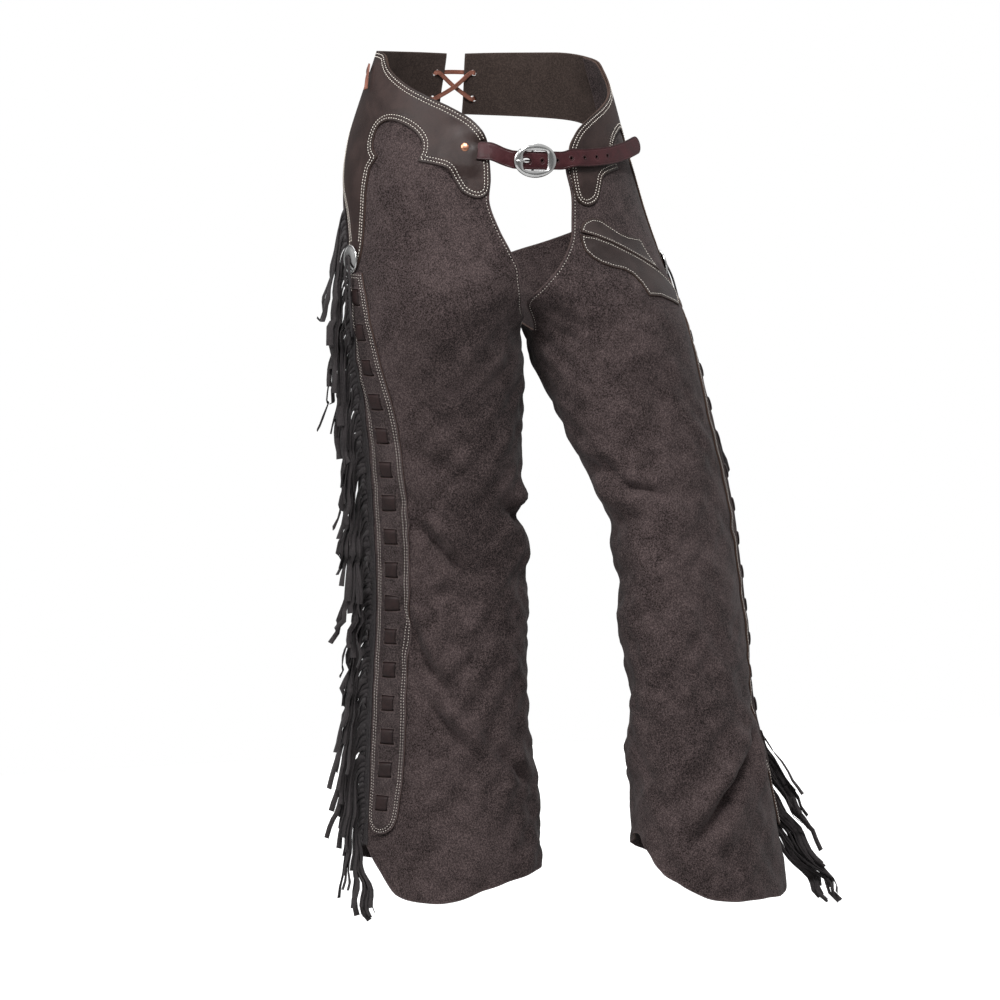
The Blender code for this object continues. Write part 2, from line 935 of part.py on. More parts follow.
def make_billet(legs, material):
    """Cut the long strap: a tongue hole, spare holes and a round tip."""
    strap = Strap(BILLET_PATH, legs)
    half = STRAP_WIDTH / 2
    end = strap.length - half
    outline = [(0.0, -half), (0.0, half)]
    for index in range(7):
        angle = math.pi * (0.5 - index / 6)
        outline.append((end + half * math.cos(angle), half * math.sin(angle)))
    bar_x, bar_y, bar_z = BUCKLE
    first = strap.nearest(Vector((bar_x - TONGUE_REACH, bar_y - 5, bar_z)))
    holes = [oval((first, 0), TONGUE_HOLE)]
    for index in range(1, BILLET_HOLES):
        middle = (first + index * HOLE_PITCH, 0)
        holes.append(oval(middle, (BILLET_HOLE, BILLET_HOLE), 6))
    return cut_sheet("billet", outline, strap.lay, BILLET, material, STRAP_SPACING, holes)


def make_chape(legs, material):
    """Cut the short strap that folds round the buckle's bar, with the tongue's slot."""
    strap = Strap(CHAPE_PATH, legs)
    half = CHAPE_WIDTH / 2
    bar_x, bar_y, bar_z = BUCKLE
    fold = strap.nearest(Vector((bar_x - 2.5, bar_y, bar_z)))
    length, height = CHAPE_SLOT
    parts = CHAPE_SLOT_PARTS
    reach = [length * (index / parts - 0.5) for index in range(parts + 1)]
    outline = [(0.0, half)] + [(fold + along, half) for along in reach]
    outline += [(strap.length, half), (strap.length, -half)]
    outline += [(fold - along, -half) for along in reach] + [(0.0, -half)]
    slot = [(fold + along, height / 2) for along in reach]
    slot += [(fold - along, -height / 2) for along in reach]
    return cut_sheet("chape", outline, strap.lay, CHAPE, material, STRAP_SPACING, [slot])


def make_rod(name, points, radius, material, sides=8):
    """Sweep a closed round rod along points."""
    bm = bmesh.new()
    rings = []
    side = None
    for index, point in enumerate(points):
        ahead = points[min(index + 1, len(points) - 1)] - points[max(index - 1, 0)]
        ahead.normalize()
        if side is None:
            side = ahead.orthogonal().normalized()
        side = (side - ahead * side.dot(ahead)).normalized()
        other = ahead.cross(side)
        ring = []
        for step in range(sides):
            angle = math.tau * step / sides
            ring.append(bm.verts.new(
                point + (side * math.cos(angle) + other * math.sin(angle)) * radius
            ))
        rings.append(ring)
    for low, high in zip(rings, rings[1:]):
        for step in range(sides):
            after = (step + 1) % sides
            bm.faces.new((low[step], low[after], high[after], high[step]))
    bm.faces.new(rings[0])
    bm.faces.new(rings[-1])
    return finish_mesh(name, bm, material)


def make_ribbon(name, rows, wall, material):
    """Make a flat lace from pairs of edge points."""
    bm = bmesh.new()
    made = [[bm.verts.new(point) for point in row] for row in rows]
    for low, high in zip(made, made[1:]):
        bm.faces.new((low[0], low[1], high[1], high[0]))
    return finish_mesh(name, bm, material, wall)


def make_band(name, points, sides, width, wall, material):
    """Make a flat lace through points, each with the way its width lies."""
    rows = []
    for index, (point, side) in enumerate(zip(points, sides)):
        ahead = points[min(index + 1, len(points) - 1)] - points[max(index - 1, 0)]
        ahead.normalize()
        across = (side - ahead * side.dot(ahead)).normalized() * (width / 2)
        rows.append((point + across, point - across))
    return make_ribbon(name, rows, wall, material)


def make_turned(name, profile, leg, forward, z, height_out, material, sides):
    """Turn a closed round piece with a flat back, and set it on a leg facing out."""
    bm = bmesh.new()
    turn = leg.turn_at(z, forward)
    centre = leg.place(turn, z, height_out)
    out = leg.outward(turn, z)
    up = leg.up_way(turn, z)
    side = up.cross(out).normalized()
    rings = []
    for radius, height in profile:
        ring = []
        for step in range(sides):
            angle = math.tau * step / sides
            reach = side * math.cos(angle) + up * math.sin(angle)
            ring.append(centre + out * height + reach * radius)
        rings.append(ring)
    crown = bm.verts.new(rings[0][0])
    loops = [[bm.verts.new(point) for point in ring] for ring in rings[1:]]
    for step in range(sides):
        bm.faces.new((crown, loops[0][step], loops[0][(step + 1) % sides]))
    for low, high in zip(loops, loops[1:]):
        for step in range(sides):
            after = (step + 1) % sides
            bm.faces.new((low[step], low[after], high[after], high[step]))
    bm.faces.new(loops[-1])
    return finish_mesh(name, bm, material)


def make_yoke(leg, material):
    """Cut a yoke with its lobes, tail and back belt."""
    outline = YOKE_TOP + YOKE_FRONT + YOKE_ARCH + YOKE_TAIL
    has_slit = leg.name == "right"

    def lay(forward, z):
        z += leg.sag(forward)
        out = YOKE_OUT
        if has_slit:
            _, back, front = LIFT[0]
            _, low, high = LIFT[1]
            lift = ramp(forward, back - LIFT_EDGE, back)
            lift *= 1 - ramp(forward, front, front + LIFT_EDGE)
            lift *= ramp(z, low - LIFT_EDGE, low) * (1 - ramp(z, high, high + LIFT_EDGE))
            out += lift * (BILLET + GAP)
        return leg.lay(forward, z, out)

    holes = []
    details = []
    for middle in BACK_HOLES:
        holes.append(oval(middle, (BACK_HOLE_WIDTH, BACK_HOLE_WIDTH)))
    if has_slit:
        holes.append(SLIT)
        _, back, front = LIFT[0]
        _, low, high = LIFT[1]
        for forward in (back - LIFT_EDGE, back, (back + front) / 2, front - 2):
            for up in (low - LIFT_EDGE, low, (low + high) / 2, high, high + LIFT_EDGE):
                details.append((forward, up))
    return cut_sheet(
        "yoke_" + leg.name, outline, lay, YOKE_LEATHER, material, YOKE_SPACING, holes, details
    )


def square_places(leg):
    """Give the height of each lace square's middle."""
    return [FIRST_SQUARE + leg.drop - SQUARE_PITCH * index for index in range(SQUARES)]


def make_strip(leg, material):
    """Cut the side strip with a pair of slots at each lace square."""
    line = Table(STRIP_COLUMNS, STRIP_LINE)
    top = STRIP_TOP + leg.drop

    def lay(across, z):
        arch = (1 - ramp(abs(across), ARCH_TOP, ARCH_FOOT)) * ramp(top - z, 0, ARCH_END)
        out = STRIP_OUT + STRIP_ARCH * arch
        return leg.lay(line.at("forward", z) + across, z, out)

    outline = []
    low = STRIP_BOTTOM + STRIP_ROUND
    rise = (top - ARCH_END - low) / STRIP_ROWS
    levels = [low + rise * index for index in range(STRIP_ROWS + 1)]
    for z in levels + [top]:
        outline.append((line.at("half_width", z), z))
    outline += [(-across, z) for across, z in reversed(outline)]
    half = line.at("half_width", STRIP_BOTTOM)
    for index in range(1, STRIP_END_PARTS):
        angle = math.pi * index / STRIP_END_PARTS
        outline.append((-half * math.cos(angle), low - STRIP_ROUND * math.sin(angle)))
    holes = []
    for middle in square_places(leg):
        for end in (-1, 1):
            up = middle + end * (SQUARE + SLOT) / 2
            holes.append(box(0, up, SQUARE + SLOT_EASE, SLOT))
    return cut_sheet(
        "strip_" + leg.name, outline, lay, STRIP_LEATHER, material, STRIP_SPACING, holes
    )


def make_strip_lace(leg, material):
    """Weave the side lace over the strip at each square and under it between."""
    line = Table(STRIP_COLUMNS, STRIP_LINE)
    stations = [(square_places(leg)[0] + LACE_END, LACE_UNDER)]
    over_reach, under_reach = LACE_STEP
    for middle in square_places(leg):
        stations.append((middle + under_reach, LACE_UNDER))
        stations.append((middle + over_reach, LACE_OVER))
        stations.append((middle - over_reach, LACE_OVER))
        stations.append((middle - under_reach, LACE_UNDER))
    stations.append((square_places(leg)[-1] - LACE_END, LACE_UNDER))
    rows = []
    for z, out in stations:
        middle = line.at("forward", z)
        rows.append([leg.lay(middle + edge * LACE_WIDTH / 2, z, out) for edge in (-1, 1)])
    return make_ribbon("strip_lace_" + leg.name, rows, LACE, material)


def make_fringe(leg, material):
    """Make the header strip and its strands, each hung a little outside the next."""
    line = Table(FRINGE_COLUMNS, FRINGE_LINE[leg.name])
    bm = bmesh.new()

    def spot(z, back, out):
        """Give a point a distance behind the seam and out of the header."""
        turn = leg.turn_at(z, line.at("seam", z))
        aside = leg.form(turn - 1, z) - leg.form(turn, z)
        aside.z = 0
        return leg.place(turn, z, out) + aside.normalized() * back

    def corners(z, share):
        """Make the outer and inner corner at a share of the header's width."""
        turn = leg.turn_at(z, line.at("seam", z) + share * line.at("width", z))
        made = []
        for face in (1, -1):
            made.append(bm.verts.new(leg.place(turn, z, HEADER_OUT + face * FRINGE / 2)))
        return made

    pitch = (FRINGE_BOTTOM - FRINGE_TOP) / STRANDS
    levels = [FRINGE_TOP + pitch * index for index in range(STRANDS + 1)]
    edge = [corners(z, 0.0) for z in levels]
    columns = [edge]
    for share in (0.5, 1.0):
        columns.append([corners(z, share) for z in levels[::HEADER_GROUP]])
    middle, front = columns[1:]
    for index in range(STRANDS // HEADER_GROUP):
        after = index + 1
        reach = slice(index * HEADER_GROUP, after * HEADER_GROUP + 1)
        for face in (0, 1):
            side = [pair[face] for pair in edge[reach]]
            bm.faces.new(side + [middle[after][face], middle[index][face]])
            bm.faces.new((
                middle[index][face], middle[after][face], front[after][face], front[index][face]
            ))
        bm.faces.new((front[index][0], front[after][0], front[after][1], front[index][1]))
    for row in (0, -1):
        for near, far in ((edge, middle), (middle, front)):
            bm.faces.new((near[row][0], near[row][1], far[row][1], far[row][0]))
    for index in range(STRANDS):
        root = (levels[index] + levels[index + 1]) / 2
        length = line.at("length", root) + STRAND_TRIMS[index % len(STRAND_TRIMS)]
        tip = max(root - length, FLOOR + 3 + 2 * (index % 3))
        swing = line.at("swing", root) + STRAND_LANES[index % len(STRAND_LANES)]
        high, low = edge[index], edge[index + 1]
        ring = [high[0], high[1], low[1], low[0]]
        parts = STRAND_PARTS[leg.name]
        for aside in [part / parts for part in range(parts + 1)]:
            down = root - STRAND_BEND + (tip - root + STRAND_BEND) * aside
            back = STRAND_REACH - aside * swing
            out = HEADER_OUT + line.at("slope", root) * (root - down)
            after = []
            for side, face in ((1, 1), (1, -1), (-1, -1), (-1, 1)):
                after.append(bm.verts.new(spot(
                    down, back + side * STRAND_WIDTH / 2, out + face * FRINGE / 2
                )))
            for step in (0, 2):
                beside = step + 1
                bm.faces.new((ring[step], ring[beside], after[beside], after[step]))
            for face in ((3, 0), (2, 1)):
                near, far = face
                bm.faces.new((ring[near], ring[far], after[far]))
                bm.faces.new((ring[near], after[far], after[near]))
            ring = after
        bm.faces.new(ring)
    return finish_mesh("fringe_" + leg.name, bm, material)


def make_concho_strings(leg, material):
    """Fold one string over the middle of the concho, its two ends hanging."""
    forward, z = CONCHO_SPOT
    z += leg.drop
    points = []
    outs = []
    for across, drop, out in STRING_PATH:
        turn = leg.turn_at(z + drop, forward + across)
        points.append(leg.place(turn, z + drop, out))
        outs.append(leg.outward(turn, z + drop))
    sides = []
    for index, out in enumerate(outs):
        ahead = points[min(index + 1, len(points) - 1)] - points[max(index - 1, 0)]
        sides.append(ahead.cross(out))
    name = "concho_strings_" + leg.name
    return make_band(name, points, sides, STRING_WIDTH, STRING_WALL, material)


def make_buckle_frame(material):
    """Make the oval frame and join its centre bar to it."""
    bar_x, bar_y, bar_z = BUCKLE
    bm = bmesh.new()
    rings = []
    for index in range(RIM_STATIONS):
        angle = math.tau * index / RIM_STATIONS
        across = math.cos(angle)
        up = math.sin(angle)
        power = WINDOW_SQUARENESS
        reach = (abs(across * 2 / WINDOW_SIZE[0]) ** power
                 + abs(up * 2 / WINDOW_SIZE[1]) ** power) ** (-1 / power)
        outer = (BUCKLE_SIZE[0] / 2 * across, BUCKLE_SIZE[1] / 2 * up)
        inner = (reach * across, reach * up)
        ring = []
        for share, out in RIM_PROFILE:
            ring.append(bm.verts.new((
                bar_x + inner[0] + (outer[0] - inner[0]) * share,
                bar_y - out,
                bar_z + inner[1] + (outer[1] - inner[1]) * share,
            )))
        rings.append(ring)
    count = len(RIM_PROFILE)
    for low, high in zip(rings, rings[1:] + rings[:1]):
        for step in range(count):
            after = (step + 1) % count
            bm.faces.new((low[step], low[after], high[after], high[step]))
    frame = finish_mesh("buckle_frame", bm, material)
    bend = BAR_POST - BAR_BEND[0]
    rise = -BAR_BEND[1]
    path = [(-BAR_POST, -BAR_DEPTH), (-BAR_POST, rise), (-bend, 0.0), (bend, 0.0)]
    path += [(BAR_POST, rise), (BAR_POST, -BAR_DEPTH)]
    points = [Vector((bar_x, bar_y + out, bar_z + up)) for up, out in path]
    bar = make_rod("bar", points, BAR_RADIUS, material)
    bar.hide_render = True
    bar.display_type = "WIRE"
    join = frame.modifiers.new("Centre bar", "BOOLEAN")
    join.operation = "UNION"
    join.object = bar
    return frame


def make_back_lace(legs, material):
    """Lace the two back belts together and leave the lace's two free ends."""
    depth = YOKE_LEATHER / 2 + BACK_LACE_WALL / 2 + GAP
    points = []
    sides = []

    def add(leg, forward, z, out):
        """Carry the lace on to a place on a leg."""
        turn = leg.turn_at(z, forward)
        points.append(leg.place(turn, z, out))
        sides.append(leg.up_way(turn, z))

    for row in smooth_route([Vector(row) for row in BACK_LACE_TAILS["left"]], 3):
        add(legs["left"], *row)
    for index, (name, hole, steps) in enumerate(BACK_LACING):
        forward, z = BACK_HOLES[hole]
        for shift, level in steps:
            add(legs[name], forward + shift, z, YOKE_OUT + level * depth)
        if index < len(BACK_LACING) - 1:
            middle, out = BACK_CROSSINGS[index]
            add(legs["left"], legs["left"].back_reach(middle), middle, out)
    tail = [Vector(row) for row in reversed(BACK_LACE_TAILS["right"])]
    for row in smooth_route(tail, 3):
        add(legs["right"], *row)
    return make_band("back_lace", points, sides, BACK_LACE_WIDTH, BACK_LACE_WALL, material)


def main():
    """Build the chaps."""
    for thing in list(bpy.data.objects):
        bpy.data.objects.remove(thing, do_unlink=True)
    suede = make_material("Suede", (0.062, 0.046, 0.046), 0.95)
    smooth = make_material("Smooth leather", (0.070, 0.052, 0.048), 0.55)
    strip = make_material("Strip leather", (0.060, 0.043, 0.043), 0.6)
    lace = make_material("Lace leather", (0.032, 0.018, 0.018), 0.6)
    fringe = make_material("Fringe suede", (0.028, 0.026, 0.027), 0.9)
    latigo = make_material("Latigo", (0.068, 0.022, 0.026), 0.45)
    russet = make_material("Russet lace", (0.30, 0.12, 0.09), 0.6)
    steel = make_material("Steel", (0.62, 0.62, 0.61), 0.25, 1.0)
    copper = make_material("Copper", (0.72, 0.33, 0.2), 0.3, 1.0)
    legs = {"right": Leg("right"), "left": Leg("left")}
    for leg in legs.values():
        make_leg(leg, suede)
        make_yoke(leg, smooth)
        make_strip(leg, strip)
        make_strip_lace(leg, lace)
        make_fringe(leg, fringe)
        forward, z = CONCHO_SPOT
        make_turned(
            "concho_" + leg.name, CONCHO_PROFILE, leg, forward, z + leg.drop, CONCHO_OUT, steel, 20
        )
        make_concho_strings(leg, fringe)
    forward, z, out = RIVET
    make_turned("rivet", RIVET_PROFILE, legs["right"], forward, z, out, copper, 12)

    def lay_pocket(forward, z):
        return legs["left"].lay(forward, z, POCKET_OUT)

    for name, outline in (("pocket_facing", POCKET_FACING), ("pocket_welt", POCKET_WELT)):
        cut_sheet(name, outline, lay_pocket, POCKET_LEATHER, smooth, POCKET_SPACING)

    make_billet(legs, latigo)
    make_chape(legs, latigo)
    make_buckle_frame(steel)
    tongue_points = [Vector((x, y, BUCKLE[2])) for x, y in TONGUE_PATH]
    make_rod("buckle_tongue", tongue_points, TONGUE_RADIUS, steel)
    make_back_lace(legs, russet)


main()
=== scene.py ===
"""Leather chaps as worn: suede legs, smooth yokes, laced side strips and fringe.

Lengths in the tables are millimetres; the meshes are made in metres.
+Z is up, the wearer faces -Y, and the wearer's left is +X.
"""
import math

import bmesh
import bpy
import numpy as np
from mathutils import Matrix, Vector
from mathutils.geometry import delaunay_2d_cdt
from mathutils.kdtree import KDTree


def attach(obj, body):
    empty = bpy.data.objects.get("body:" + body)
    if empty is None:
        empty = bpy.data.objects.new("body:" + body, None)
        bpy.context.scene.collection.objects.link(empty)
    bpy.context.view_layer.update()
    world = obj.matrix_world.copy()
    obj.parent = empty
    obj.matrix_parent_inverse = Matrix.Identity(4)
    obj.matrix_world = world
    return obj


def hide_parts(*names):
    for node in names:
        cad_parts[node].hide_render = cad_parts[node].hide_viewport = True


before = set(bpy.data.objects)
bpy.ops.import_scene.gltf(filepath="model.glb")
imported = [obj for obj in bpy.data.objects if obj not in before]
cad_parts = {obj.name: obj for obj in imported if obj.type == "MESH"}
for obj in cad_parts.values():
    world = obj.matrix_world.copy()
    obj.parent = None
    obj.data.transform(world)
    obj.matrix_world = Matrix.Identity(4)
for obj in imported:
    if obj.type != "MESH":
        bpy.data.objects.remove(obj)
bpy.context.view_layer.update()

# ------------------------------------------------------------------ The two hides
# Each leg is one panel of soft brown suede wrapped round the thigh and calf. It is joined
# down the outer side, closed round the leg below the crotch and cut away over the seat, and
# it hangs from the yoke in creases at the knee and in loose folds above the hem.

MM = 0.001
SUEDE = 2.0
# Leather sewn down lies this far off what carries it.
CONTACT = 0.3
CROTCH = -290.0
HIDE_COLUMNS = 150
HIDE_ROWS_BELOW = 132
HIDE_ROWS_ABOVE = 72
SETTLING = 8

# Each leg's plan. Columns: z, x, y, long half, short half, turn of the long side.
SECTIONS = {
    "right": (
        (-930, -50, -2, 104, 80, 20),
        (-880, -50, -3, 101, 78, 20),
        (-800, -52, -5, 96, 71, 20),
        (-693, -56, -9, 89, 63, 19),
        (-585, -57, -14, 86, 61, 17),
        (-477, -64, -21, 85, 63, 14),
        (-370, -71, -28, 89, 76, 9),
        (-325, -73, -31, 91, 87, 6),
        (-285, -75, -33, 91, 96, 4),
        (-250, -61, -27, 104, 106, 2),
        (-210, -38, -14, 125, 113, 0),
        (-170, -18, -3, 143, 117, 0),
        (-130, -7, 3, 152, 118, 0),
        (-90, -2, 6, 149, 114, 0),
        (-45, 0, 5, 137, 105, 0),
        (0, 0, 4, 121, 95, 0),
        (20, 0, 4, 116, 91, 0),
    ),
    "left": (
        (-930, 200, -141, 102, 80, 36),
        (-860, 195, -141, 99, 75, 38),
        (-800, 189, -140, 96, 70, 40),
        (-735, 180, -138, 92, 65, 42),
        (-670, 174, -134, 89, 59, 42),
        (-585, 168, -128, 86, 60, 40),
        (-500, 161, -118, 83, 57, 35),
        (-456, 151, -110, 84, 60, 30),
        (-370, 125, -90, 86, 73, 20),
        (-325, 112, -78, 87, 84, 14),
        (-285, 103, -65, 88, 93, 8.5),
        (-250, 80, -46, 105.5, 103, 4),
        (-210, 45, -21, 133.5, 111, 1),
        (-170, 20, -4, 150, 117, 0),
        (-130, 7, 3, 153, 118, 0),
        (-90, 2, 6, 147, 114, 0),
        (-45, 0, 5, 136, 105, 0),
        (0, 0, 4, 121, 95, 0),
        (20, 0, 4, 116, 91, 0),
    ),
}
# Where the free edges run. Columns: z, front turn, back turn.
EDGES = {
    "right": (
        (-290, 180, -180),
        (-280, 155, -151),
        (-268, 134, -136),
        (-244, 115, -122),
        (-222, 103, -96),
        (-204, 93, -66),
        (-183, 84, -38),
        (-156, 77, -18),
        (-130, 76, -12),
        (-94, 74, -12),
        (20, 71, -12),
    ),
    "left": (
        (-290, 180, -180),
        (-275, 168, -151),
        (-262, 157, -139),
        (-254, 146, -133),
        (-240, 126, -124),
        (-220, 104, -96),
        (-199, 90, -60),
        (-180, 83, -36),
        (-150, 77, -16),
        (-120, 76, -12),
        (-94, 74, -12),
        (20, 71, -12),
    ),
}
# The top edge under the yoke, and the hems. Columns: turn, z.
TOP_LINE = (
    (-25, 4), (0, 2), (7, -2), (16, -18), (31, -34), (45, -46),
    (56, -57), (66, -72), (71, -84), (74, -98), (80, -108),
)
HEMS = {
    "right": (
        (-180, -868), (-120, -872), (-60, -876), (-20, -866), (10, -850), (24, -842),
        (42, -868), (56, -893), (78, -900), (92, -898), (112, -887), (140, -877), (180, -868),
    ),
    "left": (
        (-180, -861), (-165, -842), (-148, -822), (-120, -838), (-60, -868), (-20, -862),
        (10, -852), (24, -846), (45, -876), (69, -893), (100, -892), (140, -888),
        (160, -876), (180, -861),
    ),
}
# Folds: rise, reach, then the places that the fold runs through, as (turn, z).
FOLDS = {
    "right": (
        (-4.2, 8, (66, -410), (80, -429), (98, -448)),
        (-8.5, 5.6, (64, -490), (72, -501), (84, -518), (96, -539), (108, -554)),
        (5.2, 8, (78, -490), (92, -509), (106, -534)),
        (-3.4, 12, (108, -526), (120, -541), (134, -556)),
        (-3.8, 8, (74, -562), (90, -573), (104, -584)),
        (-7.6, 5.8, (54, -576), (65, -610), (69, -628), (81, -655), (90, -679), (102, -700)),
        (5.4, 8, (64, -588), (80, -632), (96, -670)),
        (-7.6, 5.6, (72, -672), (84, -699), (94, -716), (110, -746)),
        (5.6, 8, (83, -669), (96, -698), (107, -722), (119, -744)),
        (-6.8, 5.8, (118, -726), (134, -749), (147, -767), (165, -786)),
        (4.6, 9, (129, -724), (146, -748), (163, -768)),
        (-9.5, 9, (134, -478), (156, -487), (186, -494)),
        (3.6, 12, (150, -462), (166, -470), (182, -474)),
        (4.0, 16, (150, -512), (168, -520), (184, -526)),
        (-5.2, 13, (150, -555), (166, -560), (180, -566)),
        (3.0, 24, (165, -526), (176, -530)),
        (-6.0, 14, (-172, -470), (-138, -482), (-100, -500)),
        (-5.0, 15, (-160, -530), (-124, -538), (-90, -556)),
        (-4.5, 20, (-140, -620), (-112, -660), (-84, -710)),
        (-4.0, 20, (-168, -690), (-146, -738), (-120, -790)),
        (-4.0, 20, (-120, -380), (-92, -398), (-60, -430)),
        (-1.8, 9, (46, -446), (58, -470), (72, -488)),
        (-1.6, 10, (104, -330), (96, -372), (90, -402)),
        (-1.8, 12, (48, -700), (58, -752), (66, -812)),
        (1.6, 14, (84, -560), (96, -604), (104, -650)),
        (-1.5, 10, (120, -596), (134, -612), (150, -618)),
        (-2.4, 14, (92, -786), (112, -818), (128, -852)),
        (-1.7, 12, (-40, -520), (-62, -560), (-70, -610)),
        (-2.0, 12, (-30, -740), (-44, -786), (-52, -840)),
    ),
    "left": (
        (-8.5, 6, (170, -456), (161, -453), (148, -456), (134, -462)),
        (-6.5, 9, (198, -436), (178, -433), (164, -437)),
        (6.0, 13, (200, -462), (180, -463)),
        (-5.5, 10, (200, -488), (176, -485), (160, -490)),
        (-4.6, 11, (132, -469), (116, -462), (98, -455)),
        (-3.4, 13, (184, -505), (168, -510), (150, -513)),
        (-3.2, 14, (136, -524), (118, -514), (100, -506)),
        (-12.0, 8, (80, -722), (93, -743), (113, -768), (127, -787), (141, -807), (156, -834)),
        (6.5, 11, (90, -708), (112, -739), (134, -771), (154, -801)),
        (5.0, 7, (66, -712), (74, -740), (82, -766), (94, -792)),
        (-4.5, 7, (58, -724), (64, -752), (72, -780)),
        (-5.0, 12, (-178, -432), (-158, -436), (-140, -444)),
        (-5.0, 13, (-146, -462), (-132, -466), (-116, -471)),
        (-5.5, 14, (-165, -492), (-138, -494), (-110, -502)),
        (-4.5, 18, (-158, -550), (-128, -558), (-100, -575)),
        (-4.5, 22, (-150, -640), (-122, -686), (-90, -740)),
        (-4.0, 20, (-168, -740), (-150, -766), (-130, -800)),
        (-3.0, 20, (112, -560), (124, -598), (140, -640)),
        (-2.0, 11, (60, -424), (76, -436), (92, -440)),
        (-1.8, 11, (70, -500), (92, -516), (110, -524)),
        (1.8, 14, (92, -600), (104, -652), (112, -690)),
        (-2.0, 13, (52, -640), (60, -690), (64, -742)),
        (-2.2, 12, (112, -818), (128, -842), (140, -868)),
        (-1.6, 12, (98, -316), (104, -352), (108, -392)),
        (-1.8, 12, (-30, -470), (-52, -500), (-66, -540)),
    ),
}
# The left hip sits lower, so its yoke and pocket drop.
DROP = {"right": 0.0, "left": -9.0}


def read(rows, column, at):
    """Read one column of a table along a smooth curve, held at its ends beyond them."""
    table = np.array(rows, float)
    keys, values = table[:, 0], table[:, column]
    ahead = np.minimum(np.arange(len(keys)) + 1, len(keys) - 1)
    behind = np.maximum(np.arange(len(keys)) - 1, 0)
    slopes = (values[ahead] - values[behind]) / (keys[ahead] - keys[behind])
    at = np.clip(at, keys[0], keys[-1])
    row = np.clip(np.searchsorted(keys, at, side="right") - 1, 0, len(keys) - 2)
    step = keys[row + 1] - keys[row]
    part = (at - keys[row]) / step
    square = part * part
    cube = square * part
    return (
        (2 * cube - 3 * square + 1) * values[row]
        + (cube - 2 * square + part) * slopes[row] * step
        + (3 * square - 2 * cube) * values[row + 1]
        + (cube - square) * slopes[row + 1] * step
    )


def ramp(value, low, high):
    """Rise smoothly from 0 to 1 between two values."""
    part = np.clip((np.asarray(value, float) - low) / (high - low), 0, 1)
    return part * part * (3 - 2 * part)


def unit(vectors):
    """Give each vector a length of 1."""
    return vectors / np.linalg.norm(vectors, axis=-1, keepdims=True)


def beside_run(along, up, run, fall):
    """Give how far along a straight run each place lies, from 0 to 1, and how far off it."""
    part = np.clip((along * run + up * fall) / (run * run + fall * fall), 0, 1)
    return part, np.hypot(along - part * run, up - part * fall)


def square_to(ways, along):
    """Turn some directions square to others."""
    return unit(ways - along * (ways * along).sum(-1, keepdims=True))


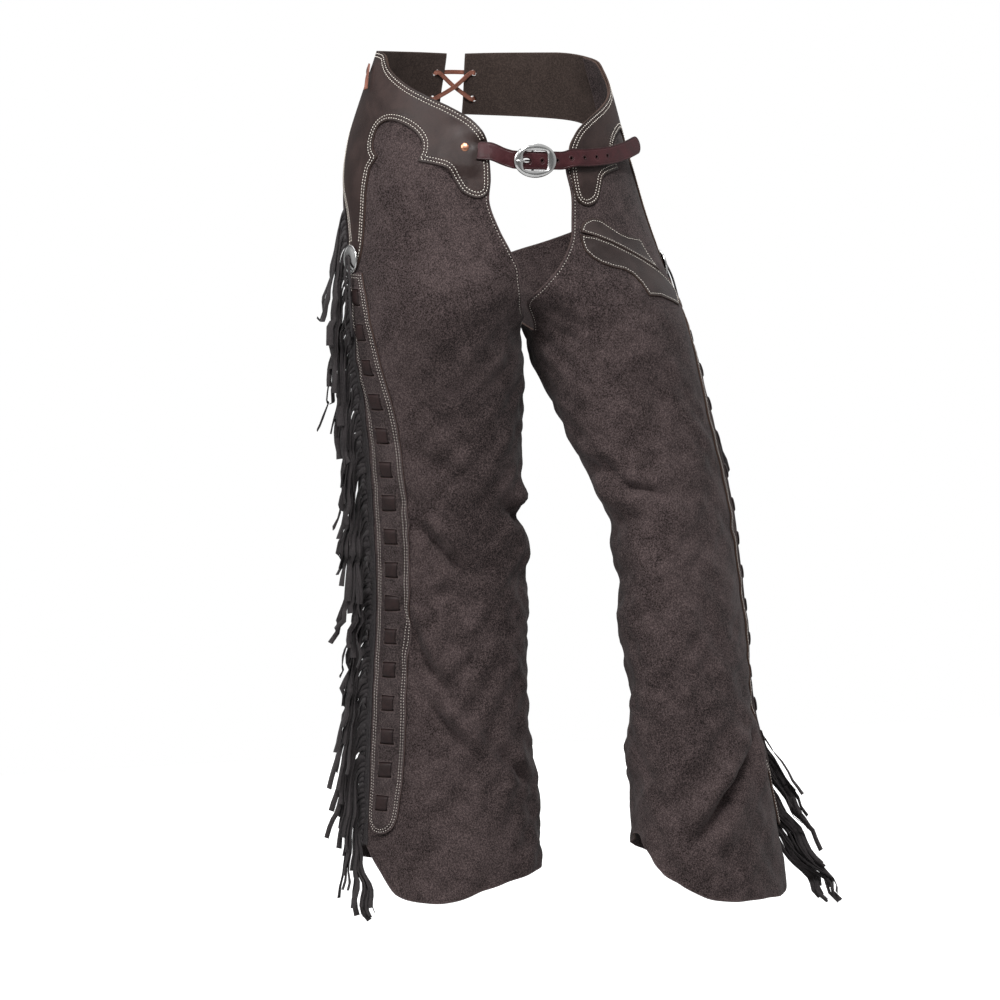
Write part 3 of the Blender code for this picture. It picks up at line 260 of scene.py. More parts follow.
class Hide:
    """One leg's curved wall, read in degrees round it and millimetres of height."""

    FOLD_RADIUS = 78.0
    # Where the side strip runs, and how far its hold reaches.
    STRIP_TURN = (42.0, 30.0)
    # How much of the loose hang the strip holds down, and how far below the waist it begins.
    STRIP_HOLD = 0.85
    LOOSE_FROM = (160, 300)
    # A fold's swell beside its hollow: share of its depth, place and width in reaches.
    SHOULDER = (0.34, 2.1, 1.0)
    # The loose hang between the folds, and the small lumps of use. Columns: how many waves,
    # least and greatest height, count round the leg, and length down it.
    HANG = ((9, 0.25, 0.75, 1, 7, 90, 330), (38, 0.14, 0.30, 4, 20, 22, 74))

    def __init__(self, name, seed):
        self.name = name
        self.side = -1 if name == "right" else 1
        self.drop = DROP[name]
        # The pieces made on this leg, and its sheets' areas, by what they are.
        self.made, self.areas = {}, {}
        chance = np.random.default_rng(seed)
        self.waves = []
        for count, low, high, fewest, most, short, long in self.HANG:
            for _ in range(count):
                self.waves.append((
                    chance.uniform(low, high),
                    int(chance.integers(fewest, most)) * chance.choice((-1, 1)),
                    math.tau / chance.uniform(short, long),
                    chance.uniform(0, math.tau),
                ))

    def plain(self, turn, z):
        """Give the wall without its folds."""
        turn, z = np.broadcast_arrays(np.asarray(turn, float), np.asarray(z, float))
        rows = SECTIONS[self.name]
        x, y, long_half, short_half, back = (read(rows, column, z) for column in range(1, 6))
        back = np.radians(back)
        along = long_half * np.cos(np.radians(turn))
        across = short_half * np.sin(np.radians(turn))
        return np.stack((
            x + self.side * (along * np.cos(back) + across * np.sin(back)),
            y + along * np.sin(back) - across * np.cos(back),
            z,
        ), axis=-1)

    def rise(self, turn, z):
        """Give how far the folds and the loose hang push the wall out."""
        turn, z = np.broadcast_arrays(np.asarray(turn, float), np.asarray(z, float))
        total = np.zeros(turn.shape)
        share_of, place_of, width_of = self.SHOULDER
        for rise, reach, *route in FOLDS[self.name]:
            best = np.full(turn.shape, np.inf)
            share = np.zeros(turn.shape)
            runs = len(route) - 1
            for index in range(runs):
                (turn_a, z_a), (turn_b, z_b) = route[index:index + 2]
                aside = np.radians((turn - turn_a + 180) % 360 - 180) * self.FOLD_RADIUS
                run = math.radians(turn_b - turn_a) * self.FOLD_RADIUS
                part, off = beside_run(aside, z - z_a, run, z_b - z_a)
                share = np.where(off < best, (index + part) / runs, share)
                best = np.minimum(off, best)
            fade = 0.25 + 0.75 * np.sin(np.pi * share)
            off = best / reach
            swell = share_of * np.exp(-((off - place_of) / width_of) ** 2)
            total += rise * fade * (np.exp(-off ** 2) - swell)
        loose = np.zeros(turn.shape)
        for height, round_count, down_rate, start in self.waves:
            loose += height * np.sin(round_count * np.radians(turn) + down_rate * z + start)
        # The sewn side strip keeps the hide smooth beneath it.
        under = np.exp(-((turn - self.STRIP_TURN[0]) / self.STRIP_TURN[1]) ** 2)
        return total + loose * ramp(-z, *self.LOOSE_FROM) * (1 - self.STRIP_HOLD * under)

    def wall(self, turn, z):
        """Give the middle of the wall, folds and all."""
        point = self.plain(turn, z)
        ahead = self.plain(np.asarray(turn, float) + 1, z) - point
        out = np.stack((-ahead[..., 1], ahead[..., 0], 0 * ahead[..., 0]), axis=-1)
        return point + unit(out) * self.side * self.rise(turn, z)[..., None]

    def ways(self, turn, z):
        """Give the wall's directions round toward the front, up, and out."""
        turn, z = np.asarray(turn, float), np.asarray(z, float)
        forward = unit(self.wall(turn + 1, z) - self.wall(turn - 1, z))
        up = unit(self.wall(turn, z + 3) - self.wall(turn, z - 3))
        return forward, up, unit(np.cross(up, forward)) * self.side

    def place(self, turn, z, out=0.0):
        """Give points some distance out of the wall's middle."""
        return self.wall(turn, z) + self.ways(turn, z)[2] * np.asarray(out, float)[..., None]

    def turn_at(self, z, forward):
        """Give the turn that lies some millimetres forward of the outer side line."""
        z, forward = np.broadcast_arrays(np.asarray(z, float), np.asarray(forward, float))
        long_half = read(SECTIONS[self.name], 3, z)
        short_half = read(SECTIONS[self.name], 4, z)
        steps = max(1, math.ceil(np.abs(forward).max() / 3))
        angle = np.zeros(z.shape)
        for _ in range(steps):
            rate = np.hypot(long_half * np.sin(angle), short_half * np.cos(angle))
            middle = angle + 0.5 * forward / steps / rate
            rate = np.hypot(long_half * np.sin(middle), short_half * np.cos(middle))
            angle = angle + forward / steps / rate
        return np.degrees(angle)

    def lay(self, forward, z, out=0.0):
        """Give points by their millimetres forward of the outer side line."""
        return self.place(self.turn_at(z, forward), z, out)

    def sag(self, forward):
        """Give how much this hip hangs lower here than the other."""
        return self.drop * ramp(forward, -60, 30)

    def outward(self, spots):
        """Point outward from the leg's middle line."""
        x, y = (read(SECTIONS[self.name], column, spots[:, 2]) for column in (1, 2))
        return spots * (1, 1, 0) - np.stack((x, y, 0 * x), -1)


def group_tree(name, inputs, outputs, kind="Shader"):
    """Start a node group with named inputs and outputs."""
    tree = bpy.data.node_groups.new(name, kind + "NodeTree")
    for way, sockets in (("INPUT", inputs), ("OUTPUT", outputs)):
        for label, holds in sockets:
            tree.interface.new_socket(name=label, in_out=way, socket_type="NodeSocket" + holds)
    return tree, tree.nodes.new("NodeGroupInput").outputs, tree.nodes.new("NodeGroupOutput").inputs


def put(tree, socket, value):
    """Link a node's output to a socket, or set the socket's own value."""
    if isinstance(value, bpy.types.NodeSocket):
        tree.links.new(value, socket)
    else:
        socket.default_value = value


def add(tree, kind, settings=None, **inputs):
    """Add a node, with its settings, and its inputs as values or links."""
    node = tree.nodes.new(kind)
    for name, value in (settings or {}).items():
        setattr(node, name, value)
    for name, value in inputs.items():
        numbered = name[0] == "i" and name[1:].isdigit()
        put(tree, node.inputs[int(name[1:]) if numbered else name.replace("_", " ")], value)
    return node


def noise(tree, where, scale, detail=2.0, roughness=0.5, distortion=0.0):
    """Add a noise texture and give its value."""
    return add(
        tree, "ShaderNodeTexNoise", Vector=where, Scale=scale, Detail=detail,
        Roughness=roughness, Distortion=distortion,
    ).outputs["Fac"]


def maths(tree, operation, *values):
    """Add a math node and give its value."""
    node = add(tree, "ShaderNodeMath", {"operation": operation})
    for socket, value in zip(node.inputs, values):
        put(tree, socket, value)
    return node.outputs[0]


def weigh(tree, *shares, base=0.0):
    """Add up values, each times its share, on a base."""
    for value, share in shares:
        base = maths(tree, "MULTIPLY_ADD", value, share, base)
    return base


def between(tree, value, low, high):
    """Give 0 to 1 as a value goes from low to high."""
    return add(
        tree, "ShaderNodeMapRange", {"interpolation_type": "SMOOTHSTEP"},
        Value=value, From_Min=low, From_Max=high,
    ).outputs["Result"]


def blend(tree, share, first, second):
    """Mix two colours and give the mix."""
    node = add(tree, "ShaderNodeMix", {"data_type": "RGBA"})
    for place, value in ((0, share), (6, first), (7, second)):
        put(tree, node.inputs[place], (*value, 1.0) if isinstance(value, tuple) else value)
    return node.outputs[2]


def finish_of(name, **constants):
    """Start a material: its tree, its Principled shader and its object coordinates."""
    material = bpy.data.materials.new(name)
    material.use_nodes = True
    tree = material.node_tree
    shader = tree.nodes["Principled BSDF"]
    for socket, value in constants.items():
        shader.inputs[socket.replace("_", " ")].default_value = value
    where = tree.nodes.new("ShaderNodeTexCoord").outputs["Object"]
    return material, tree, shader.inputs, where


def dress(tree, shader, colour, rough, height, strength, distance):
    """Give a material its colour, roughness and bumps, some millimetres high."""
    tree.links.new(colour, shader["Base Color"])
    tree.links.new(rough, shader["Roughness"])
    bump = add(tree, "ShaderNodeBump", Height=height, Strength=strength, Distance=distance * MM)
    tree.links.new(bump.outputs["Normal"], shader["Normal"])


def noisy_finish(name, pattern, dark, light, rough, bump, **constants):
    """Make a material whose colour, roughness and bumps follow one noise."""
    material, tree, shader, where = finish_of(name, **constants)
    fuzz = noise(tree, where, *pattern)
    colour = blend(tree, fuzz, dark, light)
    dress(tree, shader, colour, weigh(tree, (fuzz, rough[1]), base=rough[0]), fuzz, bump, 0.2)
    return material


# The look of suede's nap, for the hides, the fringe and the leather's flesh side: patches
# where the nap is stroked, fine specks of long and short fibre, and its height.
nap_group, given, wanted = group_tree(
    "Suede nap",
    (("Coordinates", "Vector"), ("Fibre scale", "Float"), ("Patch scale", "Float")),
    (("Patches", "Float"), ("Specks", "Float"), ("Height", "Float")),
)
stretched = add(
    nap_group, "ShaderNodeMapping", Vector=given["Coordinates"], Scale=(1.0, 1.0, 0.85)
).outputs["Vector"]
fibre = noise(nap_group, stretched, given["Fibre scale"], 4.0, 0.85)
fine_scale = maths(nap_group, "MULTIPLY", given["Fibre scale"], 2.9)
fine = noise(nap_group, given["Coordinates"], fine_scale, 2.0)
patch = noise(nap_group, given["Coordinates"], given["Patch scale"], 4.0, 0.6, 0.4)
cloud_scale = maths(nap_group, "MULTIPLY", given["Patch scale"], 0.22)
cloud = noise(nap_group, given["Coordinates"], cloud_scale, 2.0)
specks = weigh(nap_group, (fibre, 0.62), (fine, 0.38))
patches = weigh(nap_group, (patch, 0.6), (cloud, 0.4))
nap_group.links.new(between(nap_group, patches, 0.40, 0.64), wanted["Patches"])
nap_group.links.new(between(nap_group, specks, 0.44, 0.60), wanted["Specks"])
nap_group.links.new(specks, wanted["Height"])


def suede_finish(name, dark, light, fibre_scale, patch_scale, nap_depth, **constants):
    """Make a suede: two tones of nap, rough, with a soft sheen."""
    material, tree, shader, where = finish_of(name, **constants)
    nap = add(
        tree, "ShaderNodeGroup", {"node_tree": nap_group},
        Coordinates=where, Fibre_scale=fibre_scale, Patch_scale=patch_scale,
    ).outputs
    share = weigh(tree, (nap["Specks"], 0.78), (nap["Patches"], 0.22))
    edge = add(tree, "ShaderNodeAttribute", {"attribute_name": "edge"}).outputs["Fac"]
    worn = weigh(tree, (between(tree, edge, 0.4, 2.2), -0.3), base=0.3)
    colour = blend(tree, worn, blend(tree, share, dark, light), tuple(1.2 * v for v in light))
    rough = weigh(tree, (nap["Specks"], 0.12), base=0.86)
    dress(tree, shader, colour, rough, nap["Height"], 0.9, nap_depth)
    return material


hide_suede = suede_finish(
    "Brown suede", (0.0040, 0.0024, 0.0023), (0.110, 0.081, 0.080), 680, 44, 0.45,
    Sheen_Weight=0.05, Sheen_Roughness=0.5, Specular_IOR_Level=0.1,
)
raw_edge = suede_finish(
    "Raw leather edge", (0.022, 0.013, 0.010), (0.064, 0.038, 0.029), 900, 90, 0.4,
    Specular_IOR_Level=0.25,
)


def placed(name, data):
    """Add an object with some data to the scene."""
    thing = bpy.data.objects.new(name, data)
    bpy.context.scene.collection.objects.link(thing)
    return thing


def declare(piece, node):
    """Fix a piece to the garment, hide the model part that it replaces, and give the piece."""
    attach(piece, "root")
    if node:
        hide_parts(node)
    return piece


def edge_distance(mesh):
    """Store each vertex's distance in millimetres from the sheet's cut edges."""
    counts = np.zeros(len(mesh.edges), int)
    for loop in mesh.loops:
        counts[loop.edge_index] += 1
    spots = []
    for edge in (mesh.edges[int(i)] for i in np.flatnonzero(counts == 1)):
        start, end = (mesh.vertices[i].co for i in edge.vertices)
        parts = max(1, round((end - start).length / MM))
        spots += [start.lerp(end, part / parts) for part in range(parts)]
    tree = KDTree(len(spots))
    for index, spot in enumerate(spots):
        tree.insert(spot, index)
    tree.balance()
    distances = mesh.attributes.new("edge", "FLOAT", "POINT")
    values = [tree.find(vertex.co)[2] / MM for vertex in mesh.vertices]
    distances.data.foreach_set("value", values)


def sheet_piece(name, node, slot, points, faces, outward, materials, wall, round_off=0.35):
    """Make a leather sheet from a surface in millimetres, its faces turned outward."""
    corners = points[np.array([face[:3] for face in faces])]
    normals = np.cross(corners[:, 1] - corners[:, 0], corners[:, 2] - corners[:, 0])
    if (normals * outward(corners[:, 0])).sum() < 0:
        faces = [face[::-1] for face in faces]
    mesh = bpy.data.meshes.new(name)
    mesh.from_pydata((points * MM).tolist(), [], faces)
    for material in materials:
        mesh.materials.append(material)
    mesh.shade_smooth()
    edge_distance(mesh)
    piece = placed(name, mesh)
    thickness = piece.modifiers.new("Wall", "SOLIDIFY")
    thickness.thickness = wall * MM
    thickness.offset = 0.0
    thickness.material_offset = 1
    thickness.material_offset_rim = 2
    soften = piece.modifiers.new("Soft edge", "BEVEL")
    soften.width = round_off * MM
    soften.segments = 2
    soften.limit_method = "ANGLE"
    soften.angle_limit = math.radians(50)
    soften.harden_normals = True
    return declare(piece, node)


def make_hide(hide):
    """Make one hide, with its points by row and its area."""
    share = np.linspace(0, 1, HIDE_COLUMNS + 1)
    turn = 180 - 360 * share
    hem = read(HEMS[hide.name], 1, turn)
    rows = []
    for row in range(HIDE_ROWS_BELOW + 1):
        rows.append(hide.wall(turn, hem + (CROTCH - hem) * row / HIDE_ROWS_BELOW)[:-1])
    for row in range(1, HIDE_ROWS_ABOVE + 1):
        climb = row / HIDE_ROWS_ABOVE
        z = np.full(share.shape, CROTCH * (1 - climb))
        # A place's turn depends on its height and its height on its turn, so both settle.
        for _ in range(SETTLING):
            front = read(EDGES[hide.name], 1, z)
            turn = front + (read(EDGES[hide.name], 2, z) - front) * share
            z = CROTCH + (read(TOP_LINE, 1, turn) + hide.sag(2 * turn) - CROTCH) * climb
        rows.append(hide.wall(turn, z))
    starts = np.cumsum([0] + [len(row) for row in rows])
    faces = []
    for row in range(len(rows) - 1):
        low, high = len(rows[row]), len(rows[row + 1])
        for column in range(HIDE_COLUMNS):
            after = column + 1
            faces.append((
                int(starts[row] + column), int(starts[row] + after % low),
                int(starts[row + 1] + after % high), int(starts[row + 1] + column),
            ))
    points = np.concatenate(rows)
    a, b, c = (points[np.array(faces)[:, corner]] for corner in range(3))
    hide.rows = rows
    hide.areas["hide"] = float(np.linalg.norm(np.cross(b - a, c - a), axis=1).sum()) * MM * MM
    hide.made["hide"] = sheet_piece(
        "hide_" + hide.name, "leg_" + hide.name, "suede", points, faces, hide.outward,
        (hide_suede, hide_suede, raw_edge), SUEDE,
    )


hides = {"right": Hide("right", 11), "left": Hide("left", 23)}
for hide in hides.values():
    make_hide(hide)

# ------------------------------------------------------------------ The sewing
# Every seam is a lockstitch in waxed cream thread, about eight stitches to the inch. Each
# stitch is a short bead of thread sunk into the leather; a row follows the edge it holds.

STITCH_PITCH = 3.2
STITCH_LENGTH = 1.9
THREAD = 1.0
# A stitch's middle lies this far off the leather's face.
SUNK = 0.1

thread = noisy_finish(
    "Cream waxed thread", (1800, 2.0), (0.52, 0.47, 0.41), (0.90, 0.85, 0.77), (0.5, 0.3), 0.4,
    Specular_IOR_Level=0.4,
)
dull_thread = noisy_finish(
    "Dull tan thread", (1800, 2.0), (0.34, 0.30, 0.27), (0.66, 0.61, 0.56), (0.6, 0.3), 0.4,
    Specular_IOR_Level=0.3,
)


def geometry_tree(name, sizes):
    """Start a geometry node group with named sizes and a material to set."""
    shape = ("Geometry", "Geometry")
    inputs = [shape, *((size, "Float") for size in sizes), ("Finish", "Material")]
    return group_tree(name, inputs, [shape], "Geometry")


stitch_run, given, wanted = geometry_tree("Stitch run", ("Pitch", "Length", "Thread"))
path = add(stitch_run, "GeometryNodeMeshToCurve", Mesh=given["Geometry"]).outputs["Curve"]
spots = add(
    stitch_run, "GeometryNodeResampleCurve", {"mode": "LENGTH"}, Curve=path, Length=given["Pitch"]
)
bead = add(stitch_run, "GeometryNodeMeshUVSphere", Segments=6, Rings=4, Radius=0.5)
along = add(
    stitch_run, "FunctionNodeAlignRotationToVector", {"axis": "Z"},
    Vector=stitch_run.nodes.new("GeometryNodeInputTangent").outputs[0],
)
size = add(
    stitch_run, "ShaderNodeCombineXYZ", X=given["Thread"], Y=given["Thread"], Z=given["Length"]
)
beads = add(
    stitch_run, "GeometryNodeInstanceOnPoints", Points=spots.outputs["Curve"],
    Instance=bead.outputs["Mesh"], Rotation=along.outputs[0], Scale=size.outputs[0],
)
real = add(stitch_run, "GeometryNodeRealizeInstances", Geometry=beads.outputs[0])
smooth = add(stitch_run, "GeometryNodeSetShadeSmooth", Geometry=real.outputs[0])
finished = add(
    stitch_run, "GeometryNodeSetMaterial", Geometry=smooth.outputs[0], Material=given["Finish"]
)
stitch_run.links.new(finished.outputs[0], wanted["Geometry"])


def made_by(tree, name, node, lines, values, attributes=None):
    """Run a node tree over lines of points in millimetres and keep the plain mesh."""
    points = np.concatenate(lines)
    edges = []
    start = 0
    for line in lines:
        edges += [(start + index, start + index + 1) for index in range(len(line) - 1)]
        start += len(line)
    mesh = bpy.data.meshes.new(name)
    mesh.from_pydata((points * MM).tolist(), edges, [])
    for label, (kind, data) in (attributes or {}).items():
        layer = mesh.attributes.new(label, kind, "POINT")
        layer.data.foreach_set("vector" if kind == "FLOAT_VECTOR" else "value", data.ravel())
    piece = placed(name, mesh)
    maker = piece.modifiers.new(tree.name, "NODES")
    maker.node_group = tree
    for item in tree.interface.items_tree:
        if item.in_out == "INPUT" and item.name in values:
            maker[item.identifier] = values[item.name]
    graph = bpy.context.evaluated_depsgraph_get()
    result = bpy.data.meshes.new_from_object(piece.evaluated_get(graph), depsgraph=graph)
    piece.modifiers.remove(maker)
    piece.data = result
    result.name = name
    return declare(piece, node)


def sew(name, lines, material=thread, pitch=STITCH_PITCH, length=STITCH_LENGTH, width=THREAD):
    """Sew rows of stitches along lines of points."""
    values = {"Pitch": pitch * MM, "Length": length * MM, "Thread": width * MM, "Finish": material}
    return made_by(stitch_run, name, None, lines, values)


# The hides' free edges carry one row each, a little inside the cut.
EDGE_ROW = 3.4
for name, hide in hides.items():
    above = hide.rows[HIDE_ROWS_BELOW + 1:]
    lines = []
    for column, inner in ((0, 3), (-1, -4)):
        edge = np.array([row[column] for row in above])
        along = unit(np.gradient(edge, axis=0))
        inward = square_to(np.array([row[inner] for row in above]) - edge, along)
        out = np.cross(along, inward)
        out *= np.sign((out * hide.outward(edge)).sum(-1, keepdims=True))
        lines.append(edge + inward * EDGE_ROW + out * (SUEDE / 2 + SUNK))
    hide.made["edge stitches"] = sew(
        "edge_stitches_" + name, lines, dull_thread, 3.4, 1.6, 0.9
    )

# ------------------------------------------------------------------ The yokes
# Each hip carries a yoke of smooth brown leather: a front lobe, an arch, a tail that runs
# down to the concho, and a belt that goes round to the middle of the back. Two rows of
# stitching hold it to the hide. The right one is slit for the front strap.

YOKE_LEATHER = 1.8
YOKE_OUT = SUEDE / 2 + CONTACT + YOKE_LEATHER / 2
YOKE_MESH = 2.7
# Columns: forward of the outer side line, and z.
YOKE_TOP = (
    (-158, 4), (-120, 5), (-60, 5), (-20, 4), (8, 1), (19, -8), (32, -18),
    (60, -33), (88, -45), (116, -56), (140, -68), (155, -80), (165, -92),
)
YOKE_FRONT = (
    (170, -106), (174, -124), (175, -140), (170, -148), (160, -150),
    (147, -144), (138, -132), (130, -121), (118, -116), (97, -112),
)
YOKE_ARCH = (
    (99, -101), (96, -91), (84, -80), (66, -72), (50, -70),
    (40, -76), (38, -90), (41, -100), (49, -107),
)
YOKE_TAIL = (
    (41, -120), (38, -140), (35, -165), (31, -190), (24, -212), (15, -224),
    (7, -226), (1, -218), (2, -190), (-2, -165), (-14, -140), (-22, -116),
    (-27, -96), (-38, -80), (-60, -70), (-110, -65), (-184, -62),
)
STITCH_ROWS = (2.6, 6.0)
SLIT = ((157.5, -90.5), (160.5, -90.5), (162.5, -95), (165.5, -103), (165.5, -112), (157.5, -112))
BACK_HOLES = ((-156, -17), (-166, -45))
BACK_HOLE_WIDTH = 6.4
# A row stays this far off the holes, and only the outer one goes round the foot of the tail,
# below this height and behind this place.
HOLE_MARGIN = 1.5
TAIL_FOOT = (-196, 40)
# The swell of the right yoke over the strap's hidden end: forward and z reach, how wide its
# edges and its front are, and its rise.
SWELL = ((131, 150), (-115, -87), 15.0, 14.0, 3.1)
# Soft creases on the yokes: rise, reach, then two places. They fade by this share.
YOKE_CREASES = {
    "right": (
        (2.8, 5.0, (158, -86), (126, -60)),
        (-1.9, 6.0, (150, -94), (118, -72)),
        (1.0, 7.0, (160, -120), (138, -128)),
    ),
    "left": ((0.6, 9.0, (168, -100), (126, -70)),),
}
RIDGE_FADE = 0.8


def curve(points, spacing):
    """Give closely spaced points on a smooth curve through some points."""
    points = np.array(points, float)
    last = len(points) - 1
    made = []
    for index in range(last):
        before, start, end, after = (
            points[min(max(step, 0), last)] for step in range(index - 1, index + 3)
        )
        parts = max(1, round(float(np.linalg.norm(end - start)) / spacing))
        part = np.arange(parts)[:, None] / parts
        made.append(0.5 * (
            2 * start + (end - before) * part
            + (2 * before - 5 * start + 4 * end - after) * part ** 2
            + (3 * start - before - 3 * end + after) * part ** 3
        ))
    return np.concatenate(made + [points[last:]])


def divided(outline, spacing):
    """Add points along the long stretches of a closed outline."""
    made = []
    for start, end in zip(outline, np.roll(outline, -1, axis=0)):
        parts = max(1, round(float(np.linalg.norm(end - start)) / spacing))
        made.append(start + (end - start) * (np.arange(parts)[:, None] / parts))
    return np.concatenate(made)


def inside(points, outline):
    """Say which flat points lie within an outline."""
    x, y = points[:, :1], points[:, 1:]
    (xa, ya), (xb, yb) = outline.T, np.roll(outline, -1, axis=0).T
    rise = np.where(yb == ya, 1.0, yb - ya)
    crossed = ((ya > y) != (yb > y)) & (x < xa + (y - ya) * (xb - xa) / rise)
    return crossed.sum(axis=1) % 2 == 1


def off_line(points, outline):
    """Give each flat point's distance from a closed outline."""
    run = np.roll(outline, -1, axis=0) - outline
    reach = points[:, None] - outline
    part = np.clip((reach * run).sum(-1) / (run * run).sum(-1), 0, 1)
    return np.linalg.norm(reach - part[..., None] * run, axis=-1).min(axis=1)


def cut(outline, spacing, holes=()):
    """Cut a flat sheet with its holes; give its points, triangles and area in square metres."""
    loops = [divided(np.array(loop, float), spacing) for loop in (outline, *holes)]
    low, high = loops[0].min(axis=0), loops[0].max(axis=0)
    rows = np.arange(int((high[1] - low[1]) / spacing) + 2)
    columns = np.arange(int((high[0] - low[0]) / spacing) + 2)
    row, column = (grid.ravel() for grid in np.meshgrid(rows, columns))
    inner = low + spacing * np.stack((column + 0.5 * (row % 2), row.astype(float)), -1)
    keep = inside(inner, loops[0])
    for loop in loops:
        keep &= off_line(inner, loop) > 0.55 * spacing
    for loop in loops[1:]:
        keep &= ~inside(inner, loop)
    points = np.concatenate(loops + [inner[keep]])
    edges = []
    start = 0
    for loop in loops:
        count = len(loop)
        edges += [(start + index, start + (index + 1) % count) for index in range(count)]
        start += count
    verts, _, faces, *_ = delaunay_2d_cdt([Vector(p) for p in points], edges, [], 0, 1e-5)
    flat = np.array([tuple(vert) for vert in verts])
    faces = np.array([face for face in faces if len(face) == 3])
    middles = flat[faces].mean(axis=1)
    a, b, c = (flat[faces[:, corner]] for corner in range(3))
    area = np.abs((b - a)[:, 0] * (c - a)[:, 1] - (b - a)[:, 1] * (c - a)[:, 0]) / 2
    good = inside(middles, loops[0]) & (area > 0.01)
    for loop in loops[1:]:
        good &= ~inside(middles, loop)
    faces = faces[good]
    used = np.unique(faces)
    again = np.full(len(flat), -1)
    again[used] = np.arange(len(used))
    triangles = [tuple(int(i) for i in face) for face in again[faces]]
    return flat[used], triangles, float(area[good].sum()) * MM * MM


def inset(outline, distance, step=1.5):
    """Give the closed line that runs a distance inside an outline."""
    fine = divided(outline, step)
    ahead = np.roll(fine, -1, axis=0) - np.roll(fine, 1, axis=0)
    aside = unit(np.stack((-ahead[:, 1], ahead[:, 0]), -1))
    line = fine + aside * distance
    if inside(line, outline).mean() < 0.5:
        line = fine - aside * distance
    keep = inside(line, outline) & (off_line(line, fine) > 0.97 * distance)
    return line[keep]


def parted(line, keep):
    """Part a closed line into the runs that are kept."""
    if keep.all():
        return [np.concatenate((line, line[:1]))]
    start = int(np.flatnonzero(~keep)[0])
    line, keep = np.roll(line, -start, axis=0), np.roll(keep, -start)
    runs, run = [], []
    for point, kept in zip(line, keep):
        if kept:
            run.append(point)
        elif run:
            runs.append(np.array(run))
            run = []
    if run:
        runs.append(np.array(run))
    return [run for run in runs if len(run) > 2]


def oval(centre, size, sides=20):
    """Give the outline of a small hole."""
    angle = math.tau * (np.arange(sides) + 0.5) / sides
    return np.stack((
        centre[0] + size[0] / 2 * np.cos(angle), centre[1] + size[1] / 2 * np.sin(angle)
    ), -1)


def box(middle, size):
    """Give the outline of a rectangle."""
    corners = np.array(((-1, -1), (1, -1), (1, 1), (-1, 1)), float)
    return np.array(middle) + corners * np.array(size) / 2


def ridge(forward, z, route, reach):
    """Give the height, from 0 to 1, of a soft ridge that fades from one place to the next."""
    (forward_a, z_a), (forward_b, z_b) = route
    part, off = beside_run(forward - forward_a, z - z_a, forward_b - forward_a, z_b - z_a)
    return np.exp(-(off / reach) ** 2) * (1 - RIDGE_FADE * part)


# The look of smooth leather, for the yokes, the strips and the straps: its pores and
# creases, cloudy colour, and the darker, rubbed line at its cut edges.
grain_group, given, wanted = group_tree(
    "Leather grain",
    (("Coordinates", "Vector"), ("Pore scale", "Float"), ("Cloud scale", "Float"),
     ("Edge", "Float")),
    (("Clouds", "Float"), ("Pores", "Float"), ("Rubbed", "Float"), ("Height", "Float")),
)
jitter = add(grain_group, "ShaderNodeTexNoise", Vector=given["Coordinates"], Scale=260.0)
shift = add(
    grain_group, "ShaderNodeVectorMath", {"operation": "SCALE"},
    i0=jitter.outputs["Color"], Scale=0.0016,
)
bent = add(
    grain_group, "ShaderNodeVectorMath", {"operation": "ADD"},
    i0=given["Coordinates"], i1=shift.outputs[0],
)
pores = add(
    grain_group, "ShaderNodeTexVoronoi", {"feature": "DISTANCE_TO_EDGE"},
    Vector=bent.outputs[0], Scale=given["Pore scale"],
)
creases = between(grain_group, pores.outputs["Distance"], 0.0, 0.16)
clouds = noise(grain_group, given["Coordinates"], given["Cloud scale"], 4.0, 0.62, 0.6)
speckle_scale = maths(grain_group, "MULTIPLY", given["Pore scale"], 0.9)
speckle = noise(grain_group, given["Coordinates"], speckle_scale, 3.0)
off_edge = between(grain_group, given["Edge"], 0.2, 2.0)
for label, value in (
    ("Clouds", between(grain_group, clouds, 0.34, 0.68)),
    ("Pores", weigh(grain_group, (creases, 0.5), (speckle, 0.5))),
    ("Rubbed", maths(grain_group, "SUBTRACT", 1.0, off_edge)),
    ("Height", weigh(grain_group, (creases, 0.4), (speckle, 0.6))),
):
    grain_group.links.new(value, wanted[label])


def leather_finish(name, dark, light, worn, gloss, pore_scale, cloud_scale, depth,
                   grooves=(), **constants):
    """Make a smooth leather: cloudy colour, pores, rubbed edges and pressed grooves."""
    material, tree, shader, where = finish_of(name, **constants)
    edge = add(tree, "ShaderNodeAttribute", {"attribute_name": "edge"}).outputs["Fac"]
    grain = add(
        tree, "ShaderNodeGroup", {"node_tree": grain_group},
        Coordinates=where, Edge=edge, Pore_scale=pore_scale, Cloud_scale=cloud_scale,
    ).outputs
    share = weigh(tree, (grain["Clouds"], 0.55), (grain["Pores"], 0.45))
    rubbed = maths(tree, "MULTIPLY", grain["Rubbed"], 0.55)
    colour = blend(tree, rubbed, blend(tree, share, dark, light), worn)
    rough = weigh(tree, (grain["Clouds"], gloss[1] - gloss[0]), base=gloss[0])
    height = grain["Height"]
    for place, width, sink in grooves:
        off = maths(tree, "ABSOLUTE", maths(tree, "SUBTRACT", edge, place))
        hollow = maths(tree, "SUBTRACT", 1.0, between(tree, off, 0.0, width))
        height = weigh(tree, (hollow, -sink), base=height)
    dress(tree, shader, colour, rough, height, 0.8, depth)
    return material


yoke_leather = leather_finish(
    "Smooth brown leather", (0.0135, 0.0076, 0.0068), (0.047, 0.029, 0.026), (0.010, 0.006, 0.005),
    (0.38, 0.54), 900, 30, 0.16, [(row, 1.3, 2.6) for row in STITCH_ROWS],
    Specular_IOR_Level=0.27,
)
flesh_side = suede_finish(
    "Leather flesh side", (0.030, 0.021, 0.018), (0.080, 0.057, 0.049), 560, 50, 0.3,
    Specular_IOR_Level=0.2,
)


